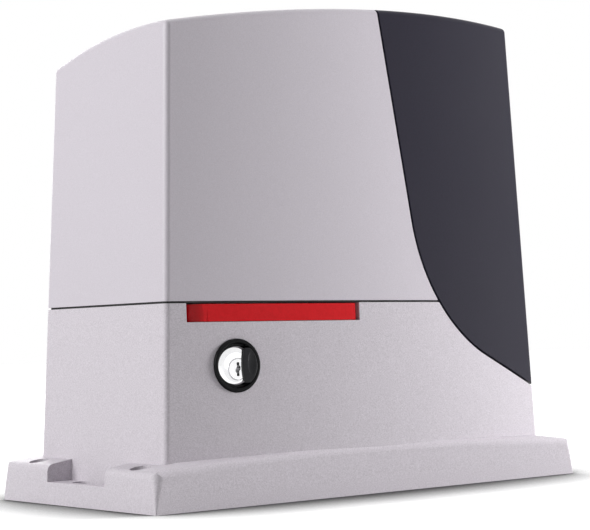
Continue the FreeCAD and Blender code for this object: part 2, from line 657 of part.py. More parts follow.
def gear_voids():
    """The chamber, the worm's well, bearing seats and shaft holes."""
    axis = (OUTPUT_X, OUTPUT_Z)
    front_bearing, rear_bearing = FRONT_BEARING, REAR_BEARING
    chamber = housing_profile(CHAMBER_RADIUS, OUTPUT_X, ROD_X + 7.0, ROD_Z - 14.0, ROD_Z + 7.0,
                              CHAMBER_FRONT - 1, CHAMBER_BACK)
    well = rod(WORM_WELL_RADIUS, (WORM_X, 0, WORM_BOTTOM - 2), (WORM_X, 0, WORM_UPPER_SEAT))
    lower = rod(WORM_LOWER_BEARING[0], (WORM_X, 0, WORM_LOWER_SEAT), (WORM_X, 0, WORM_BOTTOM - 1))
    upper = rod(WORM_UPPER_BEARING[0], (WORM_X, 0, WORM_UPPER_SEAT), (WORM_X, 0, GEARBOX_TOP + 1))
    rear = rod(rear_bearing[0], (axis[0], CHAMBER_BACK - 1, axis[1]), (axis[0], REAR_SEAT + rear_bearing[1], axis[1]))
    through = rod(OUTPUT_SHAFT_RADIUS + 2.0, (axis[0], CHAMBER_BACK, axis[1]), (axis[0], BASE_DEPTH, axis[1]))
    seal = rod(SEAL_OUTER_RADIUS, (axis[0], OUTPUT_BOSS_END - SEAL_WIDTH, axis[1]), (axis[0], BASE_DEPTH, axis[1]))
    guide = rod(ROD_RADIUS + RUNNING_FIT, (ROD_X, CHAMBER_BACK - 1, ROD_Z),
                (ROD_X, ROD_BACK + CLUTCH_TRAVEL + 1.0, ROD_Z))
    return [chamber, well, lower, upper, rear, through, seal, guide]


def handle_pocket(form):
    """The pocket under the seam that the release handle lies in."""
    ends = (HANDLE_LEFT - HANDLE_END_GAP, HANDLE_RIGHT + HANDLE_END_GAP)
    band = form.cut(drafted_form(POCKET_DEPTH)).common(box(ends, (-BASE_DEPTH, 0), (POCKET_FLOOR, SEAM_HEIGHT)))
    swing = rod(HANDLE_END_RADIUS + HANDLE_END_PLAY, (SPINDLE_X, SPINDLE_Y, POCKET_FLOOR),
                (SPINDLE_X, SPINDLE_Y, SEAM_HEIGHT))
    return band.fuse(swing)


def base_casting():
    """Flange, drafted walls, gearbox, handle pocket, ledges and posts in one casting."""
    form = drafted_form(0)
    shoulder = drafted_form(CAST_SEAT)
    walls = form.cut(panel_side(0)).fuse(shoulder).common(slab(0, SEAM_LOW))
    cavity = drafted_form(CAST_WALL).cut(panel_side(-CAST_WALL)).fuse(drafted_form(CAST_SEAT + CAST_WALL - 1.0))
    cavity = cavity.common(slab(FLOOR_TOP, FORM_TOP))
    block_ends = (HANDLE_LEFT - HANDLE_END_GAP - POCKET_WALL, HANDLE_RIGHT + HANDLE_END_GAP + POCKET_WALL)
    block = form.cut(drafted_form(POCKET_DEPTH + POCKET_WALL))
    block = block.common(box(block_ends, (-BASE_DEPTH, 0), (POCKET_UNDERSIDE, SEAM_LOW)))
    pivot_boss = rod(HANDLE_END_RADIUS + POCKET_WALL, (SPINDLE_X, SPINDLE_Y, POCKET_UNDERSIDE),
                     (SPINDLE_X, SPINDLE_Y, SEAM_LOW))
    inside = drafted_form(CAST_WALL / 2)
    heights = (SLIDER_BOTTOM - 7.0, LEDGE_TOP)
    ledge_left = GUIDE_PLACES[0] - GUIDE_WIDTH - REST_GAP
    ledge = box((ledge_left, OUTPUT_X + 25.0), (-BASE_DEPTH, SLIDER_BACK + 3.0), heights)
    ledge = ledge.fuse(box((ledge_left, ROD_X + 12.0), (-BASE_DEPTH, SLIDER_BACK), heights))
    switch_post = box((OUTPUT_X - SWITCH_HALF, OUTPUT_X + SWITCH_HALF), (SWITCH_FRONT, SWITCH_BACK),
                      (OUTPUT_Z + 15.0, GEARBOX_TOP))
    post = box((CABLE_X - 2.0, BASE_LENGTH), (POST_Y - POST_HALF, POST_Y + POST_HALF), (FLOOR_TOP - 1, GEARBOX_TOP))
    screw_bosses = [box((x - 7.0, x + 7.0), (face_y(x, LUG_SCREW_Z) - 16.0, BASE_DEPTH),
                        (LUG_SCREW_Z - 9.0, SEAM_LOW)) for x in LUG_PLACES]
    inner = [post.common(drafted_form(CAST_SEAT + 1.0))]
    inner += [part.common(inside) for part in [ledge, pivot_boss] + screw_bosses]
    foot = flange()
    for side in (-1, 1):
        foot = foot.cut(box((side * BASE_LENGTH, side * side_half(FORM_TOP)), (-NOTCH_WIDTH / 2, NOTCH_WIDTH / 2),
                            (NOTCH_FLOOR, FORM_TOP)))
    shell = foot.fuse(walls).cut(cavity)
    solid = joined([shell, block, gear_housing(), switch_post] + inner)
    cuts = foot_cuts() + underside_pockets() + gear_voids() + [handle_pocket(form)]
    cuts.append(rod(CRANK_HUB_RADIUS + 0.6, (SPINDLE_X, SPINDLE_Y, CRANK_TOP - CRANK_THICKNESS - 0.6),
                    (SPINDLE_X, SPINDLE_Y, POCKET_UNDERSIDE)))
    cuts.append(lock_placed(rod(NUT_RADIUS + 1.0, (0, CAST_WALL + 0.5, 0), (0, 2 * CAST_WALL, 0))))
    cuts.append(rod(SPINDLE_RADIUS + RUNNING_FIT, (SPINDLE_X, SPINDLE_Y, 0), (SPINDLE_X, SPINDLE_Y, SEAM_HEIGHT))
                .common(slab(POCKET_UNDERSIDE - 1, SEAM_HEIGHT)))
    cuts.append(lock_placed(rod(BARREL_RADIUS + SCREW_CLEARANCE, (0, 0, 0), (0, 2 * CAST_WALL, 0))))
    cuts.append(lock_placed(rod(BEZEL_RADIUS + SCREW_CLEARANCE, (0, -5, 0), (0, BEZEL_RECESS, 0))))
    cuts.append(rod(CABLE_HOLE_RADIUS, (CABLE_X, 0, -1), (CABLE_X, 0, FLOOR_TOP + 1)))
    cuts.append(rod(TRANSFORMER_BOLT_RADIUS + SCREW_CLEARANCE, (TRANSFORMER_X, 0, 0), (TRANSFORMER_X, 0, FLOOR_TOP + 1))
                .common(slab(UNDERSIDE_DEPTH, FLOOR_TOP + 1)))
    band = form.cut(drafted_form(COVER_WALL + LUG_SIDE_GAP))
    for x in LUG_PLACES:
        cuts.append(band.common(lug_band(x, LUG_GAP, SEAM_HIGH - LUG_DROP)))
        cuts.append(rod(COVER_SCREW_RADIUS + SCREW_CLEARANCE, (x, face_y(x, LUG_SCREW_Z) - 14.0, LUG_SCREW_Z),
                        (x, BASE_DEPTH, LUG_SCREW_Z)))
    for x, y in motor_ears():
        cuts.append(rod(2.5 + SCREW_CLEARANCE, (x, y, GEARBOX_TOP - 11.0), (x, y, GEARBOX_TOP + 1)))
    for x, z in plate_screw_places():
        cuts.append(rod(2.0 + SCREW_CLEARANCE, (x, CHAMBER_FRONT - 1, z), (x, CHAMBER_FRONT + 7.5, z)))
    for x, y in carrier_screw_places():
        cuts.append(rod(2.0 + SCREW_CLEARANCE, (x, y, GEARBOX_TOP - 9.0), (x, y, GEARBOX_TOP + 1)))
    for x in SWITCH_SCREWS:
        cuts.append(rod(2.0 + SCREW_CLEARANCE, (x, SWITCH_SCREW_Y, GEARBOX_TOP - 9.0), (x, SWITCH_SCREW_Y, GEARBOX_TOP + 1)))
    for cut in cuts:
        solid = solid.cut(cut)
    return solid.removeSplitter()


def levelling_screws():
    """Four grub screws that level the motor on its foundation plate."""
    screws = []
    for x, y in levelling_places():
        body = rod(LEVELLING_THREAD_RADIUS, (x, y, 0.5), (x, y, NOTCH_FLOOR + 3.0))
        slot = box((x - 0.8, x + 0.8), (y - 5, y + 5), (NOTCH_FLOOR + 1.4, NOTCH_FLOOR + 4))
        screws.append(body.cut(slot))
    return Part.makeCompound(screws)


# ---------------------------------------------------------------- gears
def involute(angle):
    """Involute function."""
    return math.tan(angle) - angle


def gear_section(module, teeth, y, turn, backlash):
    """One closed gear outline in the XZ plane at y, centred on the output shaft."""
    pitch_r = module * teeth / 2
    base_r = pitch_r * math.cos(math.radians(PRESSURE_ANGLE))
    tip_r, root_r = pitch_r + module, pitch_r - 1.25 * module
    half_pitch = (math.pi * module / 2 - backlash / 2) / 2 / pitch_r
    flank = []
    for r in (root_r, max(base_r, root_r + 0.25 * module), pitch_r, tip_r):
        roll = math.acos(min(1.0, base_r / r))
        flank.append((r, half_pitch + involute(math.radians(PRESSURE_ANGLE)) - involute(roll)))
    points = []
    for k in range(teeth):
        middle = math.pi + 2 * math.pi * k / teeth + turn
        points += [(r, middle - half) for r, half in flank]
        points += [(r, middle + half) for r, half in reversed(flank)]
    ring = [Vector(OUTPUT_X + r * math.cos(a), y, OUTPUT_Z + r * math.sin(a)) for r, a in points]
    return Part.makePolygon(ring + ring[:1])


def worm_wheel():
    """Helical wheel with a dished web; its back face has pockets for the clutch dogs."""
    back = WHEEL_WIDTH / 2
    twist = LEAD_SLOPE * back / WHEEL_RADIUS
    low = gear_section(WHEEL_MODULE, WHEEL_TEETH, -back, twist, MESH_BACKLASH)
    high = gear_section(WHEEL_MODULE, WHEEL_TEETH, back, -twist, MESH_BACKLASH)
    wheel = Part.makeLoft([low, high], True, True)
    dish = tube(WHEEL_RADIUS - 7.5, OUTPUT_SHAFT_RADIUS + 6.0, on_axis(-back), on_axis(-back + 4.0))
    wheel = wheel.cut(dish).cut(rod(OUTPUT_SHAFT_RADIUS + RUNNING_FIT, on_axis(-back - 1), on_axis(back + 1)))
    for k in range(DOG_COUNT):
        wheel = wheel.cut(dog(k, DOG_PLAY, back - DOG_LENGTH - 1.0, back + 1))
    return wheel


def on_axis(y):
    """A point on the output shaft's axis."""
    return (OUTPUT_X, y, OUTPUT_Z)


def dog(k, grow, y_low, y_high):
    """One clutch dog: a sector of a ring."""
    ring = tube(DOG_OUTER + grow, DOG_INNER - grow, on_axis(y_low), on_axis(y_high))
    half = math.radians(DOG_HALF_ANGLE) + grow / DOG_INNER
    middle = 2 * math.pi * k / DOG_COUNT
    far = 2 * DOG_OUTER
    wedge = [(OUTPUT_X, OUTPUT_Z)]
    wedge += [(OUTPUT_X + far * math.cos(middle + s * half), OUTPUT_Z + far * math.sin(middle + s * half))
              for s in (-1, 1)]
    return ring.common(plate_xz(wedge, y_low, y_high))


def pinion():
    """Spur pinion that drives the gate's rack."""
    low = gear_section(PINION_MODULE, PINION_TEETH, PINION_FRONT, 0, 0.2)
    high = gear_section(PINION_MODULE, PINION_TEETH, PINION_FRONT + PINION_WIDTH, 0, 0.2)
    wheel = Part.makeLoft([low, high], True, True)
    wheel = wheel.cut(rod(OUTPUT_SHAFT_RADIUS + SCREW_CLEARANCE, on_axis(PINION_FRONT - 1),
                          on_axis(PINION_FRONT + PINION_WIDTH + 1)))
    return wheel.cut(key_shape(PINION_KEY, SCREW_CLEARANCE))


def key_shape(span, grow):
    """A feather key on top of the output shaft, over a (low, high) span of Y."""
    half = KEY_WIDTH / 2 + grow
    return box((OUTPUT_X - half, OUTPUT_X + half), (span[0] - grow, span[1] + grow),
               (OUTPUT_Z + OUTPUT_SHAFT_RADIUS - KEY_DEPTH - grow, OUTPUT_Z + OUTPUT_SHAFT_RADIUS + KEY_DEPTH + grow))


def output_shaft():
    """Keyed output shaft with chamfered ends and a tapped end hole."""
    r = OUTPUT_SHAFT_RADIUS
    end = PINION_FRONT + PINION_WIDTH - 0.5
    solid = turned([(0, SHAFT_FRONT), (r - 1, SHAFT_FRONT), (r, SHAFT_FRONT + 1), (r, end - 1), (r - 1, end), (0, end)],
                   (OUTPUT_X, 0, OUTPUT_Z), (0, 1, 0))
    solid = solid.cut(rod(4.0 + SCREW_CLEARANCE, on_axis(end - 22.0), on_axis(end + 1)))
    for span in (CLUTCH_KEY, PINION_KEY):
        solid = solid.cut(key_shape(span, SCREW_CLEARANCE))
    return solid.cut(tube(r + 1, r - 0.8, on_axis(CIRCLIP_Y - 0.05), on_axis(CIRCLIP_Y + CIRCLIP_WIDTH + 0.05)))


def shaft_keys():
    """Feather keys under the clutch ring and the pinion."""
    return Part.makeCompound([key_shape(CLUTCH_KEY, 0), key_shape(PINION_KEY, 0)])


def shaft_retainers():
    """Spacer sleeve before the wheel and the circlip behind it."""
    r = OUTPUT_SHAFT_RADIUS
    sleeve = tube(r + 4.0, r + SCREW_CLEARANCE, on_axis(FRONT_SEAT + FRONT_BEARING[1] + 0.2), on_axis(-WHEEL_BACK - 0.2))
    circlip = tube(r + 1.8, r - 0.7, on_axis(CIRCLIP_Y), on_axis(CIRCLIP_Y + CIRCLIP_WIDTH))
    opening = box((OUTPUT_X - 2.0, OUTPUT_X + 2.0), (0, 2 * WHEEL_BACK), (OUTPUT_Z - 2 * r, OUTPUT_Z))
    return Part.makeCompound([sleeve, circlip.cut(opening)])


def pinion_fastener():
    """End washer and hexagon bolt that hold the pinion."""
    back = PINION_FRONT + PINION_WIDTH
    washer = tube(16.0, 4.1, on_axis(back), on_axis(back + 3.0))
    corners = [(OUTPUT_X + 7.5 * math.cos(math.radians(60 * i)), OUTPUT_Z + 7.5 * math.sin(math.radians(60 * i)))
               for i in range(6)]
    head = plate_xz(corners, back + 3.0, back + 8.3)
    shank = rod(4.0, on_axis(back - 20.0), on_axis(back + 3.0))
    return Part.makeCompound([washer, head.fuse(shank)])


def worm_shaft():
    """Motor shaft with the worm cut on its lower end."""
    bottom, top = WORM_BOTTOM, WORM_BOTTOM + WORM_LENGTH
    core_r = WORM_PITCH_RADIUS - 1.25 * WHEEL_MODULE
    profile = [(0, WORM_LOWER_SEAT + 0.3), (WORM_SHAFT_RADIUS, WORM_LOWER_SEAT + 0.3), (WORM_SHAFT_RADIUS, bottom - 1.0),
               (core_r, bottom - 1.0), (core_r, top + 2.0), (MOTOR_SHAFT_RADIUS, top + 2.0),
               (MOTOR_SHAFT_RADIUS, SHAFT_TOP), (0, SHAFT_TOP)]
    core = turned(profile, (WORM_X, 0, 0), (0, 0, 1))
    slope = math.tan(math.radians(PRESSURE_ANGLE))
    half = (WORM_PITCH / 2 - MESH_BACKLASH / 2) / 2
    tip_r, root_r = WORM_PITCH_RADIUS + WHEEL_MODULE, core_r - 0.6
    tip_half = half - slope * (tip_r - WORM_PITCH_RADIUS)
    root_half = half + slope * (WORM_PITCH_RADIUS - root_r)
    turns = math.ceil(WORM_LENGTH / WORM_PITCH) + 1
    start = OUTPUT_Z - (turns / 2 if turns % 2 else turns / 2 + 0.5) * WORM_PITCH
    helix = Part.makeHelix(WORM_PITCH, turns * WORM_PITCH + WORM_PITCH, root_r)
    section = [Vector(root_r, 0, -root_half), Vector(tip_r, 0, -tip_half), Vector(tip_r, 0, tip_half),
               Vector(root_r, 0, root_half)]
    thread = Part.Wire(helix).makePipeShell([Part.makePolygon(section + section[:1])], True, True)
    thread.translate(Vector(WORM_X, 0, start))
    blank = rod(tip_r, (WORM_X, 0, bottom), (WORM_X, 0, top))
    return core.fuse(thread.common(blank))


# ---------------------------------------------------------------- clutch and manual release
def clutch_ring():
    """Dog ring that slides on the output shaft; dogs at its front face drive it from the wheel."""
    back = CLUTCH_FRONT + CLUTCH_WIDTH
    ring = rod(CLUTCH_RADIUS, on_axis(CLUTCH_FRONT), on_axis(back))
    teeth = [dog(k, 0, CLUTCH_FRONT - DOG_LENGTH, CLUTCH_FRONT + 1) for k in range(DOG_COUNT)]
    ring = joined([ring] + teeth)
    half = FORK_THICKNESS / 2 + 0.4
    ring = ring.cut(tube(CLUTCH_RADIUS + 1, GROOVE_RADIUS, on_axis(FORK_Y - half), on_axis(FORK_Y + half)))
    ring = ring.cut(rod(OUTPUT_SHAFT_RADIUS + RUNNING_FIT, on_axis(0), on_axis(back + 1)))
    ring = ring.cut(rod(OUTPUT_SHAFT_RADIUS + 2.4, on_axis(0), on_axis(CIRCLIP_Y + CIRCLIP_WIDTH + 0.6)))
    return ring.cut(key_shape((0, back + 1), RUNNING_FIT))


def release_fork():
    """Fork that sits in the clutch ring's groove and hangs on the push rod."""
    low, high = FORK_Y - FORK_THICKNESS / 2, FORK_Y + FORK_THICKNESS / 2
    ring = tube(CLUTCH_RADIUS + 4.0, GROOVE_RADIUS + 0.5, on_axis(low), on_axis(high))
    ring = ring.common(box((-BASE_LENGTH, BASE_LENGTH), (low, high), (OUTPUT_Z - 3.0, GEARBOX_TOP)))
    hub = rod(FORK_HUB_RADIUS, (ROD_X, low - 2.0, ROD_Z), (ROD_X, high, ROD_Z))
    arm = plate_xz([(OUTPUT_X + 16.0, OUTPUT_Z + 18.5), (OUTPUT_X + 22.0, OUTPUT_Z + 10.0),
                    (ROD_X + 3.0, ROD_Z - 5.0), (ROD_X - 3.0, ROD_Z + 5.0)], low, high)
    solid = joined([ring, hub, arm])
    return solid.cut(rod(ROD_RADIUS + SCREW_CLEARANCE, (ROD_X, low - 3, ROD_Z), (ROD_X, high + 1, ROD_Z)))


def release_rod():
    """Push rod between the wedge slider and the fork."""
    return rod(ROD_RADIUS, (ROD_X, SLIDER_BACK + ROD_IDLE, ROD_Z), (ROD_X, ROD_BACK, ROD_Z))


def crank_pin_place():
    """Centre of the crank pin at rest: half a quarter turn before the slider's direction."""
    reach = CRANK_THROW * math.cos(math.radians(45))
    return SPINDLE_X - reach, SPINDLE_Y + reach


def release_slider():
    """Slide plate: a yoke round the crank pin at one end, a wedge for the push rod at the other."""
    pin_x, pin_y = crank_pin_place()
    slot_low, slot_high = pin_y - CRANK_PIN_RADIUS - 0.6, SPINDLE_Y + CRANK_THROW + CRANK_PIN_RADIUS + 0.6
    slot_half = CRANK_PIN_RADIUS + YOKE_PLAY
    heights = (SLIDER_BOTTOM, SLIDER_TOP)
    yoke = box((pin_x - slot_half - 3.6, pin_x + slot_half + 3.6), (slot_low - 3.4, slot_high + 3.0), heights)
    strip = box((pin_x + slot_half + 1.0, ROD_X + 12.0), (SLIDER_FRONT, SLIDER_BACK), heights)
    foot = ROD_X - ROD_RADIUS - 0.3
    crest = SLIDER_BACK + CLUTCH_TRAVEL
    wedge = plate_xy([(foot, SLIDER_BACK), (foot - RELEASE_SLIDE, crest), (foot - 2 * RELEASE_SLIDE, crest),
                      (foot - 3 * RELEASE_SLIDE, SLIDER_BACK), (foot - 3 * RELEASE_SLIDE, SLIDER_BACK - 1),
                      (foot, SLIDER_BACK - 1)], *heights)
    slot = box((pin_x - slot_half, pin_x + slot_half), (slot_low, slot_high), (SLIDER_BOTTOM - 1, SLIDER_TOP + 1))
    return joined([yoke, strip, wedge]).cut(slot)


def slider_guides():
    """Two bridges that hold the slider down on its ledge."""
    bridges = []
    for x in GUIDE_PLACES:
        span = (x - GUIDE_WIDTH / 2, x + GUIDE_WIDTH / 2)
        outer = box(span, (SLIDER_FRONT - 2.4, SLIDER_BACK + 2.6), (LEDGE_TOP, SLIDER_TOP + 3.0))
        passage = box((span[0] - 1, span[1] + 1), (SLIDER_FRONT - REST_GAP, SLIDER_BACK + REST_GAP),
                      (LEDGE_TOP - 1, SLIDER_TOP + REST_GAP))
        bridges.append(outer.cut(passage))
    return Part.makeCompound(bridges)


def release_handle():
    """The red handle: it follows the bowed face and turns about its left end."""
    heights = (POCKET_FLOOR + HANDLE_FLOOR_GAP, HANDLE_TOP)
    bar = drafted_form(HANDLE_FACE_SET_BACK).cut(drafted_form(HANDLE_DEPTH))
    bar = bar.common(box((SPINDLE_X, HANDLE_RIGHT), (-BASE_DEPTH, 0), heights))
    end = rod(HANDLE_END_RADIUS, (SPINDLE_X, SPINDLE_Y, heights[0]), (SPINDLE_X, SPINDLE_Y, heights[1]))
    solid = bar.fuse(end.common(drafted_form(HANDLE_FACE_SET_BACK))).removeSplitter()
    return solid.cut(rod(SPINDLE_RADIUS + SCREW_CLEARANCE, (SPINDLE_X, SPINDLE_Y, 0),
                         (SPINDLE_X, SPINDLE_Y, HANDLE_TOP - 1.6)))


def handle_spindle():
    """Spindle under the handle with its crank and pin."""
    pin_x, pin_y = crank_pin_place()
    crank = (CRANK_TOP - CRANK_THICKNESS, CRANK_TOP)
    shaft = rod(SPINDLE_RADIUS, (SPINDLE_X, SPINDLE_Y, crank[0]), (SPINDLE_X, SPINDLE_Y, HANDLE_TOP - 1.7))
    hub = rod(CRANK_HUB_RADIUS, (SPINDLE_X, SPINDLE_Y, crank[0]), (SPINDLE_X, SPINDLE_Y, crank[1]))
    tip = rod(CRANK_PIN_RADIUS + 1.3, (pin_x, pin_y, crank[0]), (pin_x, pin_y, crank[1]))
    pin = rod(CRANK_PIN_RADIUS, (pin_x, pin_y, SLIDER_BOTTOM + 0.4), (pin_x, pin_y, crank[1]))
    return joined([shaft, hub, tip, pin])


# ---------------------------------------------------------------- lock
def lock_placed(shape):
    """Move a shape from the lock's own frame, facing -Y, to its place square on the bowed face."""
    lean = math.degrees(math.atan(2 * FACE_BOW * LOCK_X / side_half(LOCK_Z) ** 2))
    shape = shape.copy()
    shape.rotate(Vector(0, 0, 0), Vector(0, 0, 1), lean)
    shape.translate(Vector(LOCK_X, -face_y(LOCK_X, LOCK_Z), LOCK_Z))
    return shape


def lock_bezel():
    """Domed ring round the keyhole, hollow inside for the sliding shutter."""
    ring = tube(BEZEL_RADIUS, BEZEL_OPENING, (0, BEZEL_RECESS, 0), (0, -BEZEL_HEIGHT, 0))
    outer = [e for e in ring.Edges if len(e.Vertexes) == 1 and abs(e.Vertexes[0].Y + BEZEL_HEIGHT) < 0.01]
    outer.sort(key=lambda e: e.Length)
    ring = ring.makeFillet(3.0, outer[-1:])
    lip = [e for e in ring.Edges if len(e.Vertexes) == 1 and abs(e.Vertexes[0].Y + BEZEL_HEIGHT) < 0.01]
    lip.sort(key=lambda e: e.Length)
    ring = ring.makeFillet(0.9, lip[:1])
    hollow = rod(SHUTTER_ROOM, (0, BEZEL_RECESS + 1, 0), (0, -SHUTTER_FRONT - 0.2, 0))
    return lock_placed(ring.cut(hollow))


def lock_barrel():
    """Chrome face plate and the barrel behind it, bored for the plug."""
    face = rod(SHUTTER_ROOM - 0.1, (0, BEZEL_RECESS - 0.1, 0), (0, -FACE_PLATE_TOP, 0))
    barrel = rod(BARREL_RADIUS, (0, -FACE_PLATE_TOP / 2, 0), (0, BARREL_LENGTH, 0))
    bore = rod(PLUG_RADIUS + RUNNING_FIT, (0, -FACE_PLATE_TOP - 1, -PLUG_DROP), (0, BARREL_LENGTH + 1, -PLUG_DROP))
    return lock_placed(face.fuse(barrel).cut(bore))


def lock_nut():
    """Hexagon nut that clamps the lock against the inside of the wall."""
    corners = [(NUT_RADIUS * math.cos(math.radians(60 * i)), NUT_RADIUS * math.sin(math.radians(60 * i)))
               for i in range(6)]
    nut = plate_xz(corners, CAST_WALL + 0.5, CAST_WALL + 4.5)
    return lock_placed(nut.cut(rod(BARREL_RADIUS + SCREW_CLEARANCE, (0, 0, 0), (0, 3 * CAST_WALL, 0))))


def lock_plug():
    """Turning plug with a stepped key slot."""
    plug = rod(PLUG_RADIUS, (0, -FACE_PLATE_TOP - 0.2, -PLUG_DROP), (0, BARREL_LENGTH + 2.0, -PLUG_DROP))
    half = KEY_SLOT_HEIGHT / 2
    shift = KEY_SLOT_WIDTH / 2
    outline = [(-shift, -half), (shift, -half), (shift, -1.0), (2 * shift, -0.2), (2 * shift, 1.4), (shift, 2.2),
               (shift, half), (-shift, half), (-shift, 1.0), (-2 * shift, 0.2), (-2 * shift, -1.4), (-shift, -2.2)]
    slot = plate_xz([(x, z - PLUG_DROP) for x, z in outline], -FACE_PLATE_TOP - 1, 9.0)
    return lock_placed(plug.cut(slot))


def lock_cam():
    """Cam on the back of the plug that blocks or frees the release."""
    low = (BARREL_LENGTH + 0.3, BARREL_LENGTH + 1.9)
    hub = rod(PLUG_RADIUS + 1.5, (0, low[0], -PLUG_DROP), (0, low[1], -PLUG_DROP))
    arm = box((-3.5, 3.5), low, (-PLUG_DROP, -PLUG_DROP + LOCK_CAM_LENGTH))
    cam = hub.fuse(arm).removeSplitter()
    bore = rod(PLUG_RADIUS + SCREW_CLEARANCE, (0, 0, -PLUG_DROP), (0, 2 * BARREL_LENGTH, -PLUG_DROP))
    return lock_placed(cam.cut(bore))


def lock_shutter():
    """Crescent shutter with a finger dimple; it slides left over the keyhole."""
    front, back = -SHUTTER_FRONT, -SHUTTER_FRONT + SHUTTER_THICKNESS
    blade = rod(BEZEL_OPENING, (SHUTTER_OFFSET, back, 0), (SHUTTER_OFFSET, front, 0))
    blade = blade.common(rod(SHUTTER_ROOM - 0.2, (0, back, 0), (0, front, 0)))
    dimple_radius = 30.0
    dimple = Part.makeSphere(dimple_radius, Vector(0, 0, 0))
    scale = FreeCAD.Matrix()
    scale.scale(0.4, 1.0, 1.0)
    dimple = dimple.transformGeometry(scale)
    dimple.translate(Vector(BEZEL_OPENING - 2.0, front - dimple_radius + 0.7, 0))
    return lock_placed(blade.cut(dimple))


# ---------------------------------------------------------------- motor
def bearing(size, bore, centre, axis, start):
    """A ball bearing as one ring with a shield groove on each side, from start along the axis."""
    outer, width = size
    mean = (outer + bore) / 2
    groove = (outer - bore) * 0.18
    ring = tube(outer, bore + RUNNING_FIT, (0, 0, start), (0, 0, start + width))
    for z in (start, start + width - 0.6):
        ring = ring.cut(tube(mean + groove, mean - groove, (0, 0, z), (0, 0, z + 0.6)))
    if axis == "Y":
        ring.rotate(Vector(0, 0, 0), Vector(1, 0, 0), -90)
    ring.translate(Vector(*centre))
    return ring


def motor_flange():
    """Flange with three ears; a spigot centres the motor can."""
    low, high = GEARBOX_TOP, MOTOR_BOTTOM
    parts = [rod(MOTOR_RADIUS, (WORM_X, 0, low), (WORM_X, 0, high)),
             rod(MOTOR_RADIUS - MOTOR_WALL - 0.1, (WORM_X, 0, high), (WORM_X, 0, high + 2.5))]
    for x, y in motor_ears():
        parts.append(rod(MOTOR_EAR_RADIUS, (x, y, low), (x, y, high)))
        parts.append(ear_arm(x, y, low, high))
    solid = joined(parts).cut(rod(MOTOR_SHAFT_RADIUS + 2.0, (WORM_X, 0, low - 1), (WORM_X, 0, high + 4)))
    for x, y in motor_ears():
        solid = solid.cut(rod(2.5 + SCREW_CLEARANCE, (x, y, low - 1), (x, y, high + 1)))
    return solid


def motor_can():
    """Steel tube of the motor."""
    can = tube(MOTOR_RADIUS, MOTOR_RADIUS - MOTOR_WALL, (WORM_X, 0, MOTOR_BOTTOM), (WORM_X, 0, MOTOR_TOP))
    bead = tube(MOTOR_RADIUS + 1, MOTOR_RADIUS - 0.8, (WORM_X, 0, MOTOR_TOP - 8), (WORM_X, 0, MOTOR_TOP - 6))
    return can.cut(bead)


def motor_magnets():
    """Two magnet arcs inside the can."""
    outer = MOTOR_RADIUS - MOTOR_WALL
    ring = tube(outer, outer - MAGNET_THICKNESS, (WORM_X, 0, ARMATURE_BOTTOM - 3),
                (WORM_X, 0, ARMATURE_BOTTOM + ARMATURE_LENGTH + 3))
    gap = box((WORM_X - 2 * outer, WORM_X + 2 * outer), (-outer * 0.4, outer * 0.4), (0, FORM_TOP))
    return ring.cut(gap)


def armature_core():
    """Slotted core on the shaft."""
    core = tube(ARMATURE_RADIUS, MOTOR_SHAFT_RADIUS + SCREW_CLEARANCE, (WORM_X, 0, ARMATURE_BOTTOM),
                (WORM_X, 0, ARMATURE_BOTTOM + ARMATURE_LENGTH))
    for k in range(ARMATURE_SLOTS):
        slot = box((ARMATURE_RADIUS * 0.55, ARMATURE_RADIUS + 1), (-2.2, 2.2), (0, FORM_TOP))
        slot.rotate(Vector(0, 0, 0), Vector(0, 0, 1), 360.0 * (k + 0.5) / ARMATURE_SLOTS)
        slot.translate(Vector(WORM_X, 0, 0))
        core = core.cut(slot)
    return core


def armature_winding():
    """Copper end turns above and below the core."""
    outer, inner = ARMATURE_RADIUS - 3.5, MOTOR_SHAFT_RADIUS + 1.5
    bundles = []
    for z in (ARMATURE_BOTTOM - 10.0, ARMATURE_BOTTOM + ARMATURE_LENGTH):
        profile = [(inner, z + 1), (inner + 3, z), (outer - 3, z), (outer, z + 2.5), (outer, z + 7.5),
                   (outer - 3, z + 10), (inner + 3, z + 10), (inner, z + 9)]
        bundles.append(turned(profile, (WORM_X, 0, 0), (0, 0, 1)))
    return Part.makeCompound(bundles)


def commutator():
    """Ribbed copper commutator above the armature."""
    low, high = COMMUTATOR_BOTTOM, COMMUTATOR_BOTTOM + 12.0
    ring = tube(COMMUTATOR_RADIUS, MOTOR_SHAFT_RADIUS + SCREW_CLEARANCE, (WORM_X, 0, low), (WORM_X, 0, high))
    for k in range(ARMATURE_SLOTS):
        cut = box((COMMUTATOR_RADIUS - 1.0, COMMUTATOR_RADIUS + 1), (-0.4, 0.4), (0, FORM_TOP))
        cut.rotate(Vector(0, 0, 0), Vector(0, 0, 1), 360.0 * k / ARMATURE_SLOTS)
        cut.translate(Vector(WORM_X, 0, 0))
        ring = ring.cut(cut)
    return ring


def brush_shape(side, grow):
    """Space of one carbon brush beside the commutator."""
    near = COMMUTATOR_RADIUS + 0.15 - grow
    far = COMMUTATOR_RADIUS + 12.0 + grow
    middle = COMMUTATOR_BOTTOM + 6.0
    return box((WORM_X + side * near, WORM_X + side * far), (-4.0 - grow, 4.0 + grow),
               (middle - 3.5 - grow, middle + 3.5 + grow))


def brushes():
    """Two carbon brushes."""
    return Part.makeCompound([brush_shape(side, 0) for side in (-1, 1)])


